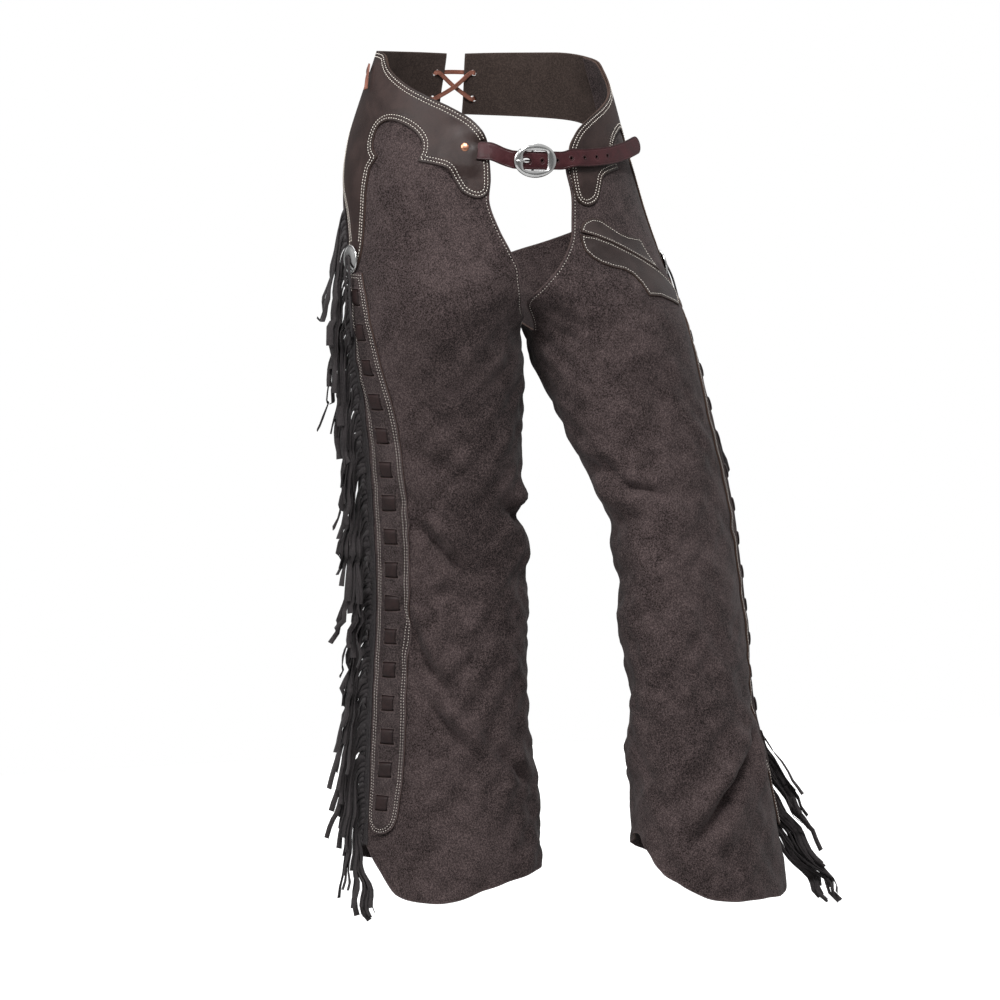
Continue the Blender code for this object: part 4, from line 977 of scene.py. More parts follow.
def lay_yoke(hide, forward, z, out=0.0):
    """Wrap a place of a yoke round the hip."""
    forward, z = np.asarray(forward, float), np.asarray(z, float)
    lift = np.zeros(forward.shape)
    if hide.name == "right":
        (back, front), (low, high), edge, front_edge, rise = SWELL
        lift = ramp(forward, back - edge, back) * (1 - ramp(forward, front, front + front_edge))
        lift = rise * lift * ramp(z, low - edge, low) * (1 - ramp(z, high, high + edge))
    for height, reach, *route in YOKE_CREASES[hide.name]:
        lift = lift + height * ridge(forward, z, route, reach)
    return hide.lay(forward, z + hide.sag(forward), YOKE_OUT + lift + out)


yoke_outline = np.concatenate((
    curve(YOKE_TOP + YOKE_FRONT, YOKE_MESH / 2),
    curve(YOKE_ARCH, YOKE_MESH / 2),
    curve(YOKE_TAIL, YOKE_MESH / 2),
))
for name, hide in hides.items():
    holes = [oval(middle, (BACK_HOLE_WIDTH, BACK_HOLE_WIDTH)) for middle in BACK_HOLES]
    if name == "right":
        holes.append(np.array(SLIT, float))
    flat, faces, hide.areas["yoke"] = cut(yoke_outline, YOKE_MESH, holes)
    piece = sheet_piece(
        "yoke_panel_" + name, "yoke_" + name, "smooth_leather", lay_yoke(hide, *flat.T), faces,
        hide.outward, (yoke_leather, flesh_side, raw_edge), YOKE_LEATHER,
    )
    # The stitches' grooves follow the outline alone, not the slit and the holes.
    rim = np.array([off_line(spot[None], yoke_outline)[0] for spot in flat])
    piece.data.attributes["edge"].data.foreach_set("value", rim)
    hide.made["yoke"] = piece
    lines = []
    for order, distance in enumerate(STITCH_ROWS):
        line = inset(yoke_outline, distance)
        clear = np.ones(len(line), bool)
        for hole in holes:
            clear &= off_line(line, hole) > HOLE_MARGIN
        if order == 1:
            clear &= ~((line[:, 1] < TAIL_FOOT[0]) & (line[:, 0] < TAIL_FOOT[1]))
        lines += [lay_yoke(hide, *run.T, YOKE_LEATHER / 2 + SUNK) for run in parted(line, clear)]
    hide.made["yoke stitches"] = sew("yoke_stitches_" + name, lines)

# ------------------------------------------------------------------ The side strips
# A strip of brown leather covers the outer seam of each leg from the concho to the hem. It
# is sewn down with two rows on each side, and a flat lace is woven through sixteen pairs of
# slots down its middle, so that it shows as a row of squares.

STRIP_LEATHER = 1.8
STRIP_OUT = SUEDE / 2 + CONTACT + STRIP_LEATHER / 2
STRIP_MESH = 3.6
# Columns: z, the middle's distance forward, and the half width.
STRIP_LINE = (
    (-828, 58, 19), (-758, 59, 20), (-650, 55, 20), (-500, 54, 19), (-399, 52, 18.5),
    (-362, 47, 18), (-327, 38, 18), (-288, 27, 18), (-250, 17, 16), (-230, 12, 14),
)
STRIP_TOP = -229.0
STRIP_BOTTOM = -829.0
STRIP_ROUND = 20.0
SQUARES = 16
SQUARE = 12.4
SQUARE_PITCH = 36.0
FIRST_SQUARE = -255.0
SLOT = 2.2
SLOT_LENGTH = 15.0
# The strip arches over the lace: rise, where it starts and ends across, run at the top.
STRIP_ARCH = (1.7, 8.0, 14.5, 7.0)
LACE = 1.3
LACE_WIDTH = 13.2
LACE_UNDER = SUEDE / 2 + 0.2 + LACE / 2
LACE_OVER = STRIP_OUT + STRIP_LEATHER / 2 + STRIP_ARCH[0] + 0.15 + LACE / 2
# Where the lace turns over and under, and where it ends, from a square's middle.
LACE_STEP = (5.9, 8.7)
LACE_END = 11.2
# How far the lace bulges over a square, and how far its sides turn down there.
LACE_BULGE = 0.45
LACE_ROUND = 0.35
STRIP_ROWS = (2.4, 5.2)

strip_leather = suede_finish(
    "Strip leather", (0.0050, 0.0032, 0.0031), (0.098, 0.074, 0.073), 760, 70, 0.35,
    Specular_IOR_Level=0.2,
)
lace_leather = leather_finish(
    "Woven lace leather", (0.0070, 0.0030, 0.0029), (0.026, 0.0125, 0.0118), (0.005, 0.002, 0.0018),
    (0.40, 0.56), 820, 60, 0.2, Specular_IOR_Level=0.25,
)


def square_places(hide):
    """Give the height of each lace square's middle."""
    return FIRST_SQUARE + hide.drop - SQUARE_PITCH * np.arange(SQUARES)


def lay_strip(hide, across, z, out=0.0):
    """Lay a place of the side strip on the leg, arched over its lace."""
    rise, top, foot, run = STRIP_ARCH
    arch = (1 - ramp(np.abs(across), top, foot)) * ramp(STRIP_TOP + hide.drop - z, 0, run)
    middle = read(STRIP_LINE, 1, z)
    return hide.lay(middle + across, z, STRIP_OUT + rise * arch + out)


def ribbon(rows_of_points):
    """Give the points and faces of a grid of points."""
    rows, columns, _ = rows_of_points.shape
    index = np.arange(rows * columns).reshape(rows, columns)
    faces = np.stack((index[:-1, :-1], index[:-1, 1:], index[1:, 1:], index[1:, :-1]), -1)
    return rows_of_points.reshape(-1, 3), [tuple(int(i) for i in f) for f in faces.reshape(-1, 4)]


for name, hide in hides.items():
    top = STRIP_TOP + hide.drop
    low = STRIP_BOTTOM + STRIP_ROUND
    levels = np.append(np.arange(low, top, STRIP_MESH), top)
    side = np.stack((read(STRIP_LINE, 2, levels), levels), -1)
    angle = np.pi * np.arange(1, 16) / 16
    half = float(read(STRIP_LINE, 2, STRIP_BOTTOM))
    foot = np.stack((-half * np.cos(angle), low - STRIP_ROUND * np.sin(angle)), -1)
    outline = np.concatenate((side, (side * (-1, 1))[::-1], foot))
    holes = []
    for middle in square_places(hide):
        for end in (-1, 1):
            up = middle + end * (SQUARE + SLOT) / 2
            holes.append(divided(box((0, up), (SLOT_LENGTH, SLOT)), 3.0))
    flat, faces, hide.areas["strip"] = cut(outline, STRIP_MESH, holes)
    hide.made["strip"] = sheet_piece(
        "side_strip_" + name, "strip_" + name, "strip_leather", lay_strip(hide, *flat.T), faces,
        hide.outward, (strip_leather, flesh_side, raw_edge), STRIP_LEATHER,
    )
    lines = []
    for distance in STRIP_ROWS:
        line = inset(outline, distance)
        lines += [
            lay_strip(hide, *run.T, STRIP_LEATHER / 2 + SUNK)
            for run in parted(line, line[:, 1] < top - 1.0)
        ]
    hide.made["strip stitches"] = sew(
        "strip_stitches_" + name, lines, dull_thread, STITCH_PITCH, 1.4
    )

    # The lace: over the strip at each square, under it between them.
    places = square_places(hide)
    z = np.arange(places[0] + LACE_END, places[-1] - LACE_END, -0.9)
    off = np.abs(z[:, None] - places).min(axis=1)
    over = 1 - ramp(off, *LACE_STEP)
    bulge = LACE_BULGE * np.maximum(0, 1 - (off / LACE_STEP[0]) ** 2)
    across = np.linspace(-1, 1, 7)
    out = (LACE_UNDER + (LACE_OVER - LACE_UNDER) * over + bulge)[:, None]
    out = out - LACE_ROUND * over[:, None] * across ** 4
    forward = read(STRIP_LINE, 1, z)[:, None] + across * LACE_WIDTH / 2
    points = hide.lay(forward, z[:, None], out)
    hide.made["lace"] = sheet_piece(
        "side_lace_" + name, "strip_lace_" + name, "lace_leather", *ribbon(points), hide.outward,
        (lace_leather,) * 3, LACE, 0.25,
    )

# ------------------------------------------------------------------ The fringe
# The fringe is a long band of thin charcoal suede, slit into strands up to a header that is
# sewn under the side strip. The strands leave the header backward, bend over and hang in
# layers, each lying over the roots of those below it.

FRINGE = 1.0
HEADER_OUT = SUEDE / 2 + CONTACT + FRINGE / 2
FLOOR = -938.0
# Columns: z, the header's back edge, its width, the strands' swing, length and slope out.
FRINGE_LINE = {
    "right": (
        (-846, 24, 16, 70, 112, -0.62),
        (-820, 22, 16, 44, 118, -0.10),
        (-758, 19, 17, 8, 124, 0.17),
        (-650, 15, 17, -2, 132, 0.17),
        (-500, 14, 17, 4, 128, 0.17),
        (-399, 12, 17, -3, 136, 0.17),
        (-362, 8, 17, 2, 130, 0.17),
        (-327, -2, 17, 4, 124, 0.18),
        (-288, -13, 15, -4, 132, 0.18),
        (-250, -13, 11, -2, 130, 0.18),
        (-230, -13, 9, 0, 128, 0.18),
        (-215, -13, 9, 0, 126, 0.18),
        (-160, -17, 8, 0, 120, 0.18),
    ),
    "left": (
        (-846, 24, 16, 96, 126, 0.16),
        (-820, 22, 16, 84, 130, 0.18),
        (-758, 19, 17, 64, 128, 0.20),
        (-690, 16, 17, 40, 130, 0.21),
        (-650, 15, 17, 8, 132, 0.18),
        (-500, 14, 17, -16, 128, 0.17),
        (-399, 12, 17, -18, 130, 0.18),
        (-362, 8, 17, -18, 130, 0.18),
        (-327, -2, 17, -18, 128, 0.20),
        (-288, -13, 15, -20, 128, 0.22),
        (-250, -13, 11, -22, 126, 0.23),
        (-230, -13, 9, -22, 124, 0.23),
        (-215, -13, 9, -22, 122, 0.23),
        (-160, -17, 8, -22, 118, 0.23),
    ),
}
FRINGE_TOP = -162.0
FRINGE_BOTTOM = -843.0
STRANDS = 120
STRAND_WIDTH = 6.4
STRAND_POINTS = 18
STRAND_SEEDS = {"right": 5, "left": 8}
# How far the header goes back past the strands' start.
HEADER_BEHIND = 2.5
# Where a strand starts ahead of the fringe's line, how far back it goes before it hangs, how
# far it takes to bend over, and how high it arches.
STRAND_START = 10.0
STRAND_REACH = 7.5
STRAND_BEND = 12.0
STRAND_ARCH = 3.5
# The share of the bend's length that isn't drop.
BEND_TAKES = 0.8
# The lowest strands end between these heights.
TIPS = {"right": (-932, -904), "left": (-916, -892)}
# The strands sway and curl more on the right leg, and on the left one below this height.
# There the left ones also swing more widely and are narrower. Values: elsewhere, then there.
LOOSE_BELOW = -640
SWING = (5.0, 11.0)
SWAY = (1.5, 3.2)
CURL = (1.5, 3.0)
NARROW = (1.0, 0.72)
# How far a low strand drops before it swings in under the hem.
HEM_DROP = 24
# The share of strands that flare out of the right fringe.
FLARING = 0.08
# Each strand differs between a least and a greatest value. Shares of the length, slope and
# width given for it; waves down it and where they start; millimetres of flare, reach and arch.
VARIES = {
    "length": (0.88, 1.06), "slope": (0.35, 1.05), "width": (0.78, 1.22),
    "waves": (1.5, 4.5), "start": (0, 6),
    "flare": (6, 18), "reach": (-2, 3), "arch": (-1, 2.5),
}
# The spread of a strand's twist by its tip and at its root.
TWIST = (0.75, 0.12)

fringe_suede = suede_finish(
    "Charcoal fringe suede", (0.0085, 0.0075, 0.0080), (0.046, 0.040, 0.041), 560, 70, 0.3,
    Sheen_Weight=0.05, Sheen_Roughness=0.5, Specular_IOR_Level=0.15,
)

strand_sweep, given, wanted = geometry_tree("Fringe strands", ("Width", "Thickness"))
path = add(strand_sweep, "GeometryNodeMeshToCurve", Mesh=given["Geometry"]).outputs["Curve"]
facing = add(
    strand_sweep, "GeometryNodeInputNamedAttribute", {"data_type": "FLOAT_VECTOR"}, Name="facing"
).outputs["Attribute"]
facing_curve = add(
    strand_sweep, "GeometryNodeSetCurveNormal", {"mode": "FREE"}, Curve=path, Normal=facing
)
girth = add(
    strand_sweep, "GeometryNodeInputNamedAttribute", {"data_type": "FLOAT"}, Name="girth"
).outputs["Attribute"]
section = add(
    strand_sweep, "GeometryNodeCurvePrimitiveQuadrilateral",
    Width=given["Thickness"], Height=given["Width"],
)
swept = add(
    strand_sweep, "GeometryNodeCurveToMesh", Curve=facing_curve.outputs[0],
    Profile_Curve=section.outputs[0], Scale=girth, Fill_Caps=True,
)
whole = add(strand_sweep, "GeometryNodeRealizeInstances", Geometry=swept.outputs[0])
finished = add(
    strand_sweep, "GeometryNodeSetMaterial", Geometry=whole.outputs[0], Material=given["Finish"]
)
strand_sweep.links.new(finished.outputs[0], wanted["Geometry"])


def hang(hide, z, back, out):
    """Give points a distance behind the fringe's seam and out of the wall, and the outward way."""
    turn = hide.turn_at(z, read(FRINGE_LINE[hide.name], 1, z))
    aside = hide.wall(turn - 1, z) - hide.wall(turn, z)
    aside[..., 2] = 0
    outward = hide.ways(turn, z)[2]
    return hide.wall(turn, z) + outward * out[..., None] + unit(aside) * back[..., None], outward


def make_strands(hide, seed):
    """Hang one leg's strands, each with its own length, swing, curl and twist."""
    chance = np.random.default_rng(seed)
    line = FRINGE_LINE[hide.name]
    pitch = (FRINGE_BOTTOM - FRINGE_TOP) / STRANDS
    roots = FRINGE_TOP + pitch * (np.arange(STRANDS) + 0.5)
    share = np.linspace(0, 1, STRAND_POINTS) ** 1.15
    lines, facings, girths = [], [], []
    for root in roots:
        low = bool(root < LOOSE_BELOW)
        fanned, loose = low and hide.side > 0, low or hide.side < 0
        length = float(read(line, 4, root)) * chance.uniform(*VARIES["length"])
        length = min(length, root - chance.uniform(*TIPS[hide.name]) + BEND_TAKES * STRAND_BEND)
        swing = float(read(line, 3, root)) + chance.normal(0, SWING[fanned])
        slope = float(read(line, 5, root)) * chance.uniform(*VARIES["slope"])
        run = share * length
        bent = 1 - np.exp(-run / STRAND_BEND)
        drop = run - BEND_TAKES * STRAND_BEND * bent
        sway = chance.normal(0, SWAY[loose])
        waves = share * chance.uniform(*VARIES["waves"])
        sway = sway * np.sin(waves + chance.uniform(*VARIES["start"]))
        curl = chance.normal(0, CURL[loose]) * share ** 2
        flare = 0.0
        if chance.uniform() < FLARING:
            flare = chance.uniform(*VARIES["flare"]) * share ** 2.2 * (hide.side < 0)
        z = root - drop
        reach = STRAND_START + STRAND_REACH + chance.uniform(*VARIES["reach"])
        back = reach * bent - STRAND_START - swing * share ** 1.3
        back = back + (sway - sway[0]) * bent + curl + 0.5 * flare
        # The lowest ones swing in under the hem once they are past it.
        out = HEADER_OUT + slope * np.maximum(0, drop - HEM_DROP * (slope < 0)) + 0.8 * flare
        out = out + (STRAND_ARCH + chance.uniform(*VARIES["arch"])) * bent
        points, outward = hang(hide, z, back, out)
        along = unit(np.gradient(points, axis=0))
        twist = chance.normal(0, TWIST[0]) * share ** 1.5 + chance.normal(0, TWIST[1])
        flat_way = square_to(outward, along)
        across = np.cross(along, flat_way)
        facings.append(flat_way * np.cos(twist)[:, None] + across * np.sin(twist)[:, None])
        girths.append(np.full(len(share), NARROW[fanned] * chance.uniform(*VARIES["width"])))
        lines.append(points)
    values = {"Width": STRAND_WIDTH * MM, "Thickness": FRINGE * MM, "Finish": fringe_suede}
    return made_by(
        strand_sweep, "fringe_strands_" + hide.name, "fringe_" + hide.name, lines,
        values, {
            "facing": ("FLOAT_VECTOR", np.concatenate(facings)),
            "girth": ("FLOAT", np.concatenate(girths)),
        },
    )


for name, hide in hides.items():
    hide.made["fringe"] = make_strands(hide, STRAND_SEEDS[name])
    line = FRINGE_LINE[name]
    z = np.linspace(FRINGE_TOP, FRINGE_BOTTOM, 180)
    across = np.linspace(0, 1, 5)
    back = STRAND_START - HEADER_BEHIND
    forward = read(line, 1, z)[:, None] + back
    forward = forward + across * (read(line, 2, z)[:, None] - back)
    points = hide.lay(forward, z[:, None], HEADER_OUT)
    hide.made["header"] = sheet_piece(
        "fringe_header_" + name, "fringe_" + name, "fringe_suede", *ribbon(points), hide.outward,
        (fringe_suede,) * 3, FRINGE, 0.2,
    )

# ------------------------------------------------------------------ The conchos
# A domed disc of polished steel sits at the foot of each yoke's tail. A flat thong of fringe
# suede is folded through it, and its two ends hang down over the strip.

CONCHO_SPOT = (8, -215)
CONCHO_OUT = 4.0
# Columns: radius, height.
CONCHO_PROFILE = (
    (0.0, 2.6), (2.5, 2.6), (4.0, 2.9), (6.0, 3.6), (8.5, 3.3), (11.0, 2.5), (12.6, 1.8),
    (13.2, 1.5), (13.8, 1.9), (14.8, 2.0), (15.4, 1.5), (15.5, 0.8), (15.2, 0.0), (0.0, 0.0),
)
THONG_WIDTH = 3.6
THONG_WALL = 1.3
# The thong's route. Columns: across, drop, out.
THONG_PATH = (
    (-6.0, -92.0, 8.0), (-5.2, -55.0, 9.4), (-4.2, -20.0, 9.6), (-3.2, -3.0, 8.8),
    (-2.2, 1.6, 8.4), (0.0, 3.4, 8.2), (2.2, 1.6, 8.4), (3.2, -3.0, 8.8),
    (5.0, -20.0, 9.6), (6.6, -50.0, 9.4), (8.0, -80.0, 8.0),
)

steel, tree, shader, where = finish_of("Polished steel", Metallic=1.0, IOR=2.5)
scuffs = noise(tree, add(
    tree, "ShaderNodeMapping", Vector=where, Scale=(1.0, 1.0, 3.0)
).outputs["Vector"], 900, 4.0, 0.65)
haze = noise(tree, where, 140, 3.0)
rough = weigh(tree, (maths(tree, "MULTIPLY", scuffs, haze), 0.45), base=0.10)
bright = blend(tree, haze, (0.60, 0.60, 0.60), (0.78, 0.78, 0.77))
dress(tree, shader, bright, rough, scuffs, 0.15, 0.1)


def metal_piece(name, node, parts, material, sharp=55):
    """Make a metal piece from parts, its doubles merged and its faces turned outward."""
    clean = bmesh.new()
    for points, faces in parts:
        made = [clean.verts.new(point * MM) for point in points]
        for face in faces:
            clean.faces.new([made[index] for index in face])
    bmesh.ops.remove_doubles(clean, verts=clean.verts, dist=1e-6)
    bmesh.ops.recalc_face_normals(clean, faces=clean.faces)
    mesh = bpy.data.meshes.new(name)
    clean.to_mesh(mesh)
    clean.free()
    mesh.materials.append(material)
    mesh.shade_smooth()
    mesh.set_sharp_from_angle(angle=math.radians(sharp))
    return declare(placed(name, mesh), node)


def turned(profile, hide, forward, z, out_by, sides=48):
    """Turn a round piece, set on a leg and facing out, and give its points and faces."""
    turn = hide.turn_at(z, forward)
    _, up, out = hide.ways(turn, z)
    centre = hide.place(turn, z, out_by)
    side = unit(np.cross(up, out))
    up = np.cross(out, side)
    angle = math.tau * np.arange(sides) / sides
    ring = np.cos(angle)[:, None] * side + np.sin(angle)[:, None] * up
    ring = np.concatenate((ring, ring[:1]))
    return ribbon(np.array([centre + out * height + ring * radius for radius, height in profile]))


def band(name, node, slot, points, sides, width, wall, material, outward):
    """Make a flat thong through points, each with the way its width lies."""
    across = square_to(sides, unit(np.gradient(points, axis=0))) * width / 2
    places = np.linspace(-1, 1, 4)[None, :, None]
    return sheet_piece(
        name, node, slot, *ribbon(points[:, None] + across[:, None] * places), outward,
        (material,) * 3, wall, 0.2,
    )


for name, hide in hides.items():
    forward, z = CONCHO_SPOT
    z += hide.drop
    hide.made["concho"] = metal_piece(
        "concho_disc_" + name, "concho_" + name,
        [turned(CONCHO_PROFILE, hide, forward, z, CONCHO_OUT)], steel, 50,
    )
    across, drop, out = curve(THONG_PATH, 2.5).T
    turn = hide.turn_at(z + drop, forward + across)
    points = hide.place(turn, z + drop, out)
    outs = hide.ways(turn, z + drop)[2]
    hide.made["thong"] = band(
        "concho_thong_" + name, "concho_strings_" + name, "fringe_suede", points,
        np.cross(np.gradient(points, axis=0), outs), THONG_WIDTH, THONG_WALL, fringe_suede,
        hide.outward,
    )

# ------------------------------------------------------------------ The rivet
# One copper rivet goes through the right yoke and holds the front strap's hidden end.

RIVET = (143, -98, YOKE_OUT + YOKE_LEATHER / 2 + 3.1)
# Columns: radius, height.
RIVET_PROFILE = (
    (0.0, 1.5), (1.2, 1.47), (2.2, 1.35), (3.1, 1.1), (3.8, 0.8), (4.3, 0.4), (4.5, 0.0),
    (4.3, -0.6), (0.0, -0.6),
)

copper = noisy_finish(
    "Copper", (420, 4.0, 0.6), (0.42, 0.17, 0.10), (0.90, 0.46, 0.30), (0.2, 0.3), 0.3,
    Metallic=1.0,
)
metal_piece(
    "yoke_rivet", "rivet", [turned(RIVET_PROFILE, hides["right"], *RIVET, 32)], copper, 50
)

# ------------------------------------------------------------------ The pocket
# The left thigh has a slanted pocket: a facing of smooth leather over its opening and a
# front below it, both sewn down and bent a little open by use.

POCKET_LEATHER = 1.4
POCKET_OUT = SUEDE / 2 + CONTACT + POCKET_LEATHER / 2
POCKET_MESH = 3.0
# Columns: forward, z.
POCKET_FACING = (
    (181, -187), (180, -182), (174, -176), (162, -172), (152, -174), (141, -181),
    (130, -188), (119, -192), (97, -195), (92, -212), (87, -229), (102, -221),
    (117, -213), (131, -206), (148, -198), (167, -191),
)
POCKET_FRONT = (
    (184, -189), (167, -192), (148, -199.3), (131, -207.3), (117, -214.3), (102, -222.3),
    (87, -230.8), (66, -244), (58, -252), (72, -266), (100, -258), (111, -255),
    (128, -254), (131, -241), (137, -232), (145, -227), (158, -224), (169, -220),
    (178, -214), (184, -206),
)
POCKET_ROW = 2.4
# The opening's lip: rise, reach, a place on it, its slope, and where it begins.
POCKET_LIP = (1.1, 7.0, (175, -191), 0.42, (60, 90))

pocket_leather = leather_finish(
    "Pocket leather", (0.0120, 0.0074, 0.0068), (0.040, 0.027, 0.025), (0.030, 0.016, 0.011),
    (0.28, 0.44), 900, 30, 0.16, [(POCKET_ROW, 1.2, 2.0)], Specular_IOR_Level=0.35,
)


def lay_pocket(forward, z, out=0.0):
    """Lay a place of the pocket on the left thigh."""
    rise, reach, (front, level), slope, start = POCKET_LIP
    lip = np.exp(-((z - level + slope * (front - forward)) / reach) ** 2)
    return hides["left"].lay(forward, z, POCKET_OUT + rise * lip * ramp(forward, *start) + out)


for name, node, outline in (
    ("pocket_top_band", "pocket_facing", POCKET_FACING),
    ("pocket_front_panel", "pocket_welt", POCKET_FRONT),
):
    outline = divided(np.array(outline, float), 2.0)
    flat, faces, _ = cut(outline, POCKET_MESH)
    sheet_piece(
        name, node, "smooth_leather", lay_pocket(*flat.T), faces, hides["left"].outward,
        (pocket_leather, flesh_side, raw_edge), POCKET_LEATHER,
    )
    line = inset(outline, POCKET_ROW)
    line = lay_pocket(*np.concatenate((line, line[:1])).T, POCKET_LEATHER / 2 + SUNK)
    sew(name + "_stitches", [line], thread, 3.0, 1.9, 0.75)

# ------------------------------------------------------------------ The front strap
# A strap of oxblood latigo comes out of the slit in the right yoke, goes over and under the
# buckle, and lies across the left yoke. A short chape folds round the buckle's bar.

STRAP_WIDTH = 19.0
BILLET = 2.4
CHAPE = 1.8
CHAPE_WIDTH = 18.0
STRAP_MESH = 2.6
# Runs on a hide or across the front. Columns: forward on a hide, or across, then out and z.
BILLET_PATH = (
    ("right", ((136, 3.2, -99), (148, 3.2, -100), (157, 3.2, -101), (165, 6.2, -102),
               (172, 6.8, -103))),
    ("front", ((-30, 115.4, -107), (-24, 117.6, -109), (-19, 118.5, -110), (3, 119.0, -111),
               (24, 118.6, -111), (36, 116.6, -111))),
    ("left", ((168, 8.6, -110), (150, 8.2, -110), (130, 8.2, -109), (108, 8.8, -107),
              (88, 10.8, -104), (72, 13.8, -101), (56, 18.4, -98))),
)
CHAPE_PATH = (
    ("left", ((90, 4.8, -104), (108, 4.8, -107), (130, 4.8, -109), (150, 4.8, -110),
              (168, 5.0, -110))),
    ("front", ((36, 113.8, -111), (26, 115.4, -111), (14, 116.0, -111), (4.5, 116.2, -111),
               (1.7, 116.2, -111), (0.3, 115.2, -111), (-0.2, 113.6, -111), (0.3, 112.0, -111),
               (1.7, 111.0, -111), (4.5, 110.9, -111), (14, 111.8, -111), (27, 111.6, -111))),
)
BUCKLE = (2.5, -113.6, -111.0)
BILLET_HOLE = 2.8
BILLET_HOLES = 7
HOLE_PITCH = 17.6
TONGUE_HOLE = (9.6, 4.6)
TONGUE_REACH = 9.2
STRAP_OVER_BAR = 5.0
# How far to the right of the bar the chape's slot for the tongue lies.
CHAPE_SLOT_SHIFT = 2.5
CHAPE_SLOT = (22.0, 3.4)

latigo = leather_finish(
    "Oxblood latigo", (0.024, 0.0048, 0.0062), (0.060, 0.0150, 0.0180), (0.008, 0.003, 0.003),
    (0.32, 0.46), 700, 40, 0.12, ((2.0, 0.8, 2.4),), Specular_IOR_Level=0.3,
)
latigo_edge = noisy_finish(
    "Burnished strap edge", (500, 3.0), (0.012, 0.005, 0.005), (0.035, 0.013, 0.012), (0.35, 0.2),
    0.3, Specular_IOR_Level=0.5,
)


class Strap:
    """A strap's smooth route round the front, read by its length."""

    def __init__(self, runs):
        points, ups = [], []
        for kind, places in runs:
            for across, out, z in places:
                if kind == "front":
                    points.append((across, -out, z))
                    ups.append((0, 0, 1))
                else:
                    turn = hides[kind].turn_at(z, across)
                    points.append(hides[kind].place(turn, z, out))
                    ups.append(hides[kind].ways(turn, z)[1])
        routes = curve(np.concatenate((np.array(points), np.array(ups)), axis=1), 1.0)
        self.points, self.ups = routes[:, :3], unit(routes[:, 3:])
        steps = np.linalg.norm(np.diff(self.points, axis=0), axis=1)
        self.lengths = np.append(0, np.cumsum(steps))
        self.length = float(self.lengths[-1])

    def lay(self, along, up):
        """Give the point at a length along the strap and a height on its face."""
        middle, way = (
            np.stack([np.interp(along, self.lengths, column) for column in rows.T], -1)
            for rows in (self.points, self.ups)
        )
        return middle + way * np.asarray(up, float)[..., None]

    def nearest(self, point):
        """Give the length along the strap nearest a point."""
        return float(self.lengths[np.linalg.norm(self.points - point, axis=1).argmin()])


def toward_front(spots):
    """Point outward from the waist."""
    return spots * (1, 1, 0)


strap = Strap(BILLET_PATH)
half = STRAP_WIDTH / 2
angle = np.pi * (0.5 - np.arange(17) / 16)
end = strap.length - half
outline = np.concatenate((
    ((0.0, -half), (0.0, half)),
    np.stack((end + half * np.cos(angle), half * np.sin(angle)), -1),
))
first = strap.nearest(np.array(BUCKLE) - (TONGUE_REACH, STRAP_OVER_BAR, 0))
holes = [oval((first, 0), TONGUE_HOLE, 16)]
for index in range(1, BILLET_HOLES):
    holes.append(oval((first + index * HOLE_PITCH, 0), (BILLET_HOLE, BILLET_HOLE), 14))
flat, faces, _ = cut(outline, STRAP_MESH, holes)
sheet_piece(
    "front_billet", "billet", "latigo", strap.lay(*flat.T), faces, toward_front,
    (latigo, flesh_side, latigo_edge), BILLET, 0.45,
)

short = Strap(CHAPE_PATH)
half = CHAPE_WIDTH / 2
fold = short.nearest(np.array(BUCKLE) - (CHAPE_SLOT_SHIFT, 0, 0))
outline = np.array(((0.0, half), (short.length, half), (short.length, -half), (0.0, -half)))
flat, faces, _ = cut(divided(outline, 1.2), 1.6, [box((fold, 0), CHAPE_SLOT)])
sheet_piece(
    "buckle_chape", "chape", "latigo", short.lay(*flat.T), faces, toward_front,
    (latigo, flesh_side, latigo_edge), CHAPE, 0.3,
)

# ------------------------------------------------------------------ The buckle
# A cast, domed oval frame with an oblong window and a centre bar, polished bright, and a
# round tongue that goes over the strap and rests on the frame's rim.

BUCKLE_SIZE = (48.0, 36.0)
WINDOW_SIZE = (28.0, 20.6)
WINDOW_SQUARENESS = 6
RIM_STATIONS = 96
# Columns: share of the way across the rim, and distance out of the bar.
RIM_PROFILE = (
    (0.0, 7.2), (0.0, 8.3), (0.06, 8.75), (0.2, 9.5), (0.42, 10.1), (0.62, 10.0),
    (0.8, 9.4), (0.92, 8.7), (0.985, 8.1), (1.0, 7.7), (0.985, 7.3), (0.94, 7.2),
)
BAR_RADIUS = 1.3
BAR_POST = 12.8
BAR_DEPTH = 8.3
BAR_BEND = (1.5, 2.0)
TONGUE_RADIUS = 1.1
# The share of its radius that the tongue loses over its last steps, and how many they are.
TONGUE_TAPER = (0.35, 8)
# Columns: x, y.
TONGUE_PATH = (
    (2.0, -110.6), (0.2, -111.5), (-0.6, -113.2), (-0.9, -115.0), (-2.6, -116.2),
    (-5.2, -117.6), (-8.0, -120.2), (-10.2, -123.2), (-13.0, -125.0), (-16.5, -125.6),
    (-20.5, -125.2),
)


def rod(points, radii, sides=16):
    """Give the closed mesh of a round rod along points."""
    along = unit(np.gradient(points, axis=0))
    side = unit(np.cross(along[0], (0.3, 0.5, 0.8)))
    rings = []
    for point, ahead, radius in zip(points, along, radii):
        side = unit(side - ahead * (side @ ahead))
        other = np.cross(ahead, side)
        angle = math.tau * np.arange(sides + 1) / sides
        rings.append(point + radius * (
            np.cos(angle)[:, None] * side + np.sin(angle)[:, None] * other
        ))
    rings = [np.repeat(points[:1], sides + 1, axis=0)] + rings
    rings += [np.repeat(points[-1:], sides + 1, axis=0)]
    return ribbon(np.array(rings))


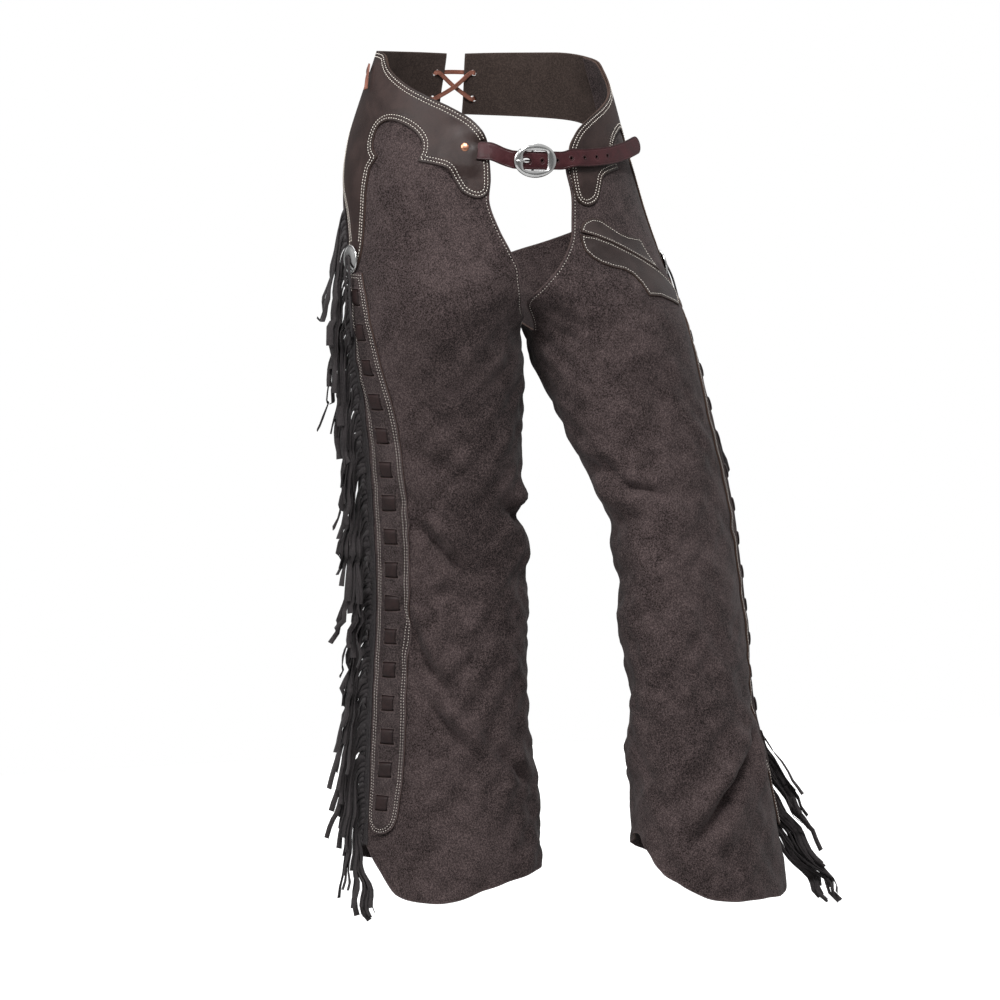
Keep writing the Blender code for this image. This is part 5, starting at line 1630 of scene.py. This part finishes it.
angle = math.tau * np.arange(RIM_STATIONS + 1) / RIM_STATIONS
cosine, sine = np.cos(angle), np.sin(angle)
reach = (
    np.abs(cosine * 2 / WINDOW_SIZE[0]) ** WINDOW_SQUARENESS
    + np.abs(sine * 2 / WINDOW_SIZE[1]) ** WINDOW_SQUARENESS
) ** (-1 / WINDOW_SQUARENESS)
inner = np.stack((reach * cosine, reach * sine), -1)
outer = np.stack((BUCKLE_SIZE[0] / 2 * cosine, BUCKLE_SIZE[1] / 2 * sine), -1)
rim = []
for share, out in RIM_PROFILE + RIM_PROFILE[:1]:
    flat = inner + (outer - inner) * share
    rim.append(np.stack((
        BUCKLE[0] + flat[:, 0], np.full(len(flat), BUCKLE[1] - out), BUCKLE[2] + flat[:, 1]
    ), -1))
bend = BAR_POST - BAR_BEND[0]
bar = np.array([
    (BUCKLE[0], BUCKLE[1] + out, BUCKLE[2] + up) for up, out in (
        (-BAR_POST, -BAR_DEPTH), (-BAR_POST, -BAR_BEND[1]), (-bend, 0.0), (bend, 0.0),
        (BAR_POST, -BAR_BEND[1]), (BAR_POST, -BAR_DEPTH),
    )
])
bar = curve(bar, 1.5)
metal_piece(
    "buckle_oval", "buckle_frame",
    [ribbon(np.array(rim)), rod(bar, np.full(len(bar), BAR_RADIUS))], steel,
)
pin = curve([(x, y, BUCKLE[2]) for x, y in TONGUE_PATH], 0.8)
loss, steps = TONGUE_TAPER
thin = ramp(np.arange(len(pin)), len(pin) - steps, len(pin) - 1)
taper = TONGUE_RADIUS * (1 - loss * thin)
metal_piece("buckle_pin", "buckle_tongue", [rod(pin, taper)], steel)

# ------------------------------------------------------------------ The back lace
# A flat russet lace goes through the holes at the ends of the two back belts, draws them
# together at the middle of the back, and leaves its two ends hanging over the hips.

BACK_LACE_WIDTH = 4.6
BACK_LACE_WALL = 1.5
# Where it crosses the middle of the back: height and distance out.
BACK_CROSSINGS = ((-31, 0.2), (-17, 6.0), (-31, -3.4))
# At each hole: the leg, the hole, and steps across it at a level (1 is outside).
BACK_LACING = (
    ("left", 1, ((3.0, 1), (0.0, 0), (-3.0, -1))),
    ("right", 0, ((-4.0, -1), (0.3, -1), (2.2, 0), (0.3, 1), (-4.0, 1))),
    ("left", 0, ((-4.0, 1), (0.3, 1), (2.2, 0), (0.3, -1), (-4.0, -1))),
    ("right", 1, ((-3.0, -1), (0.0, 0), (3.0, 1))),
)
# The free ends. Columns: forward, z, out.
BACK_LACE_TAILS = {
    "left": (
        (-20, -92, 14.0), (-30, -82, 10.0), (-48, -66, 6.4),
        (-78, -54, 6.0), (-110, -48, 6.0), (-145, -45, 6.0),
    ),
    "right": (
        (2, -38, 6.4), (-5, -25, 7.2), (-18, -13, 6.6), (-50, -22, 6.2),
        (-80, -32, 6.0), (-112, -40, 6.0), (-145, -45, 6.0),
    ),
}

russet = leather_finish(
    "Russet lace", (0.20, 0.070, 0.045), (0.40, 0.165, 0.115), (0.13, 0.045, 0.03),
    (0.45, 0.62), 900, 70, 0.2, Specular_IOR_Level=0.45,
)

level_out = YOKE_LEATHER / 2 + BACK_LACE_WALL / 2 + CONTACT
points, sides = [], []


def carry(hide, forward, z, out):
    """Carry the lace on to a place on a leg."""
    turn = hide.turn_at(z, forward)
    points.append(hide.place(turn, z, out))
    sides.append(hide.ways(turn, z)[1])


def back_reach(hide, z):
    """Give the forward value of the middle of the back."""
    turns = np.linspace(0, -90, 61)
    around = hide.plain(turns, np.full(turns.shape, float(z)))
    return -float(np.linalg.norm(np.diff(around, axis=0), axis=1).sum())


for row in curve(BACK_LACE_TAILS["left"], 9.0):
    carry(hides["left"], *row)
for index, (name, hole, steps) in enumerate(BACK_LACING):
    forward, z = BACK_HOLES[hole]
    for shift, level in steps:
        carry(hides[name], forward + shift, z, YOKE_OUT + level * level_out)
    if index < len(BACK_LACING) - 1:
        middle, out = BACK_CROSSINGS[index]
        carry(hides["left"], back_reach(hides["left"], middle), middle, out)
for row in curve(BACK_LACE_TAILS["right"], 9.0)[::-1]:
    carry(hides["right"], *row)
routes = curve(np.concatenate((np.array(points), np.array(sides)), axis=1), 2.0)
band(
    "back_thong", "back_lace", "russet_lace", routes[:, :3], routes[:, 3:], BACK_LACE_WIDTH,
    BACK_LACE_WALL, russet, toward_front,
)

# ------------------------------------------------------------------ The studio
# A plain white floor, soft lights and the camera.

corners = ((-1.6, -2), (1.6, -2), (1.6, 1.2), (-1.6, 1.2))
floor_mesh = bpy.data.meshes.new("studio_floor")
floor_mesh.from_pydata([(x, y, FLOOR * MM) for x, y in corners], [], [(0, 1, 2, 3)])
floor = placed("studio_floor", floor_mesh)
pale, tree, shader, where = finish_of(
    "White floor", Specular_IOR_Level=0.1, Roughness=0.9, Emission_Strength=1.0
)
tone = blend(tree, noise(tree, where, 2.0), (0.44, 0.44, 0.44), (0.46, 0.46, 0.46))
tree.links.new(tone, shader["Base Color"])
seen = tree.nodes.new("ShaderNodeLightPath").outputs["Is Camera Ray"]
tree.links.new(seen, shader["Emission Color"])
floor_mesh.materials.append(pale)

# Behind the object the world is white; as a light it is dim in front and brighter above.
world = bpy.data.worlds.new("Studio")
bpy.context.scene.world = world
world.use_nodes = True
tree = world.node_tree
way = tree.nodes.new("ShaderNodeTexCoord").outputs["Generated"]
way = add(tree, "ShaderNodeSeparateXYZ", i0=way).outputs
above = between(tree, way["Z"], -0.1, 0.9)
beside = between(tree, maths(tree, "ABSOLUTE", way["X"]), 0.4, 1.0)
glow = weigh(tree, (above, 0.40), (beside, 0.25), base=0.16)
seen = tree.nodes.new("ShaderNodeLightPath").outputs["Is Camera Ray"]
tree.links.new(maths(tree, "MAXIMUM", seen, glow), tree.nodes["Background"].inputs["Strength"])
tree.nodes["Background"].inputs["Color"].default_value = (1.0, 1.0, 1.0, 1.0)


def soft_light(name, place, aim, size, power):
    """Hang a soft rectangular light."""
    lamp = bpy.data.lights.new(name, "AREA")
    lamp.shape = "RECTANGLE"
    lamp.size, lamp.size_y = size
    lamp.energy = power
    holder = placed(name, lamp)
    holder.location = place
    holder.rotation_euler = (Vector(aim) - Vector(place)).to_track_quat("-Z", "Y").to_euler()


soft_light("Key", (-0.5, -2.4, 2.6), (0.05, 0, -0.45), (1.2, 1.0), 130)
soft_light("Left fill", (-2.8, -1.3, 1.5), (0.05, 0, -0.1), (1.2, 1.6), 62)
soft_light("Top", (0.2, 0.6, 2.6), (0.05, 0, -0.4), (2.0, 2.0), 40)

CAMERA_AZIMUTH = -22.0
CAMERA_ELEVATION = 5.0
CAMERA_DISTANCE = 4.5
AIM = (0.0108 * 0.927, -0.0108 * 0.375, -0.477)
azimuth, elevation = math.radians(CAMERA_AZIMUTH), math.radians(CAMERA_ELEVATION)
back_way = Vector((
    math.sin(azimuth) * math.cos(elevation), -math.cos(azimuth) * math.cos(elevation),
    math.sin(elevation),
))
lens = bpy.data.cameras.new("Camera")
lens.lens = 150
lens.sensor_width = 36
camera = placed("Camera", lens)
camera.location = Vector(AIM) + back_way * CAMERA_DISTANCE
camera.rotation_euler = back_way.to_track_quat("Z", "Y").to_euler()
bpy.context.scene.camera = camera
bpy.context.scene.view_settings.view_transform = "Standard"
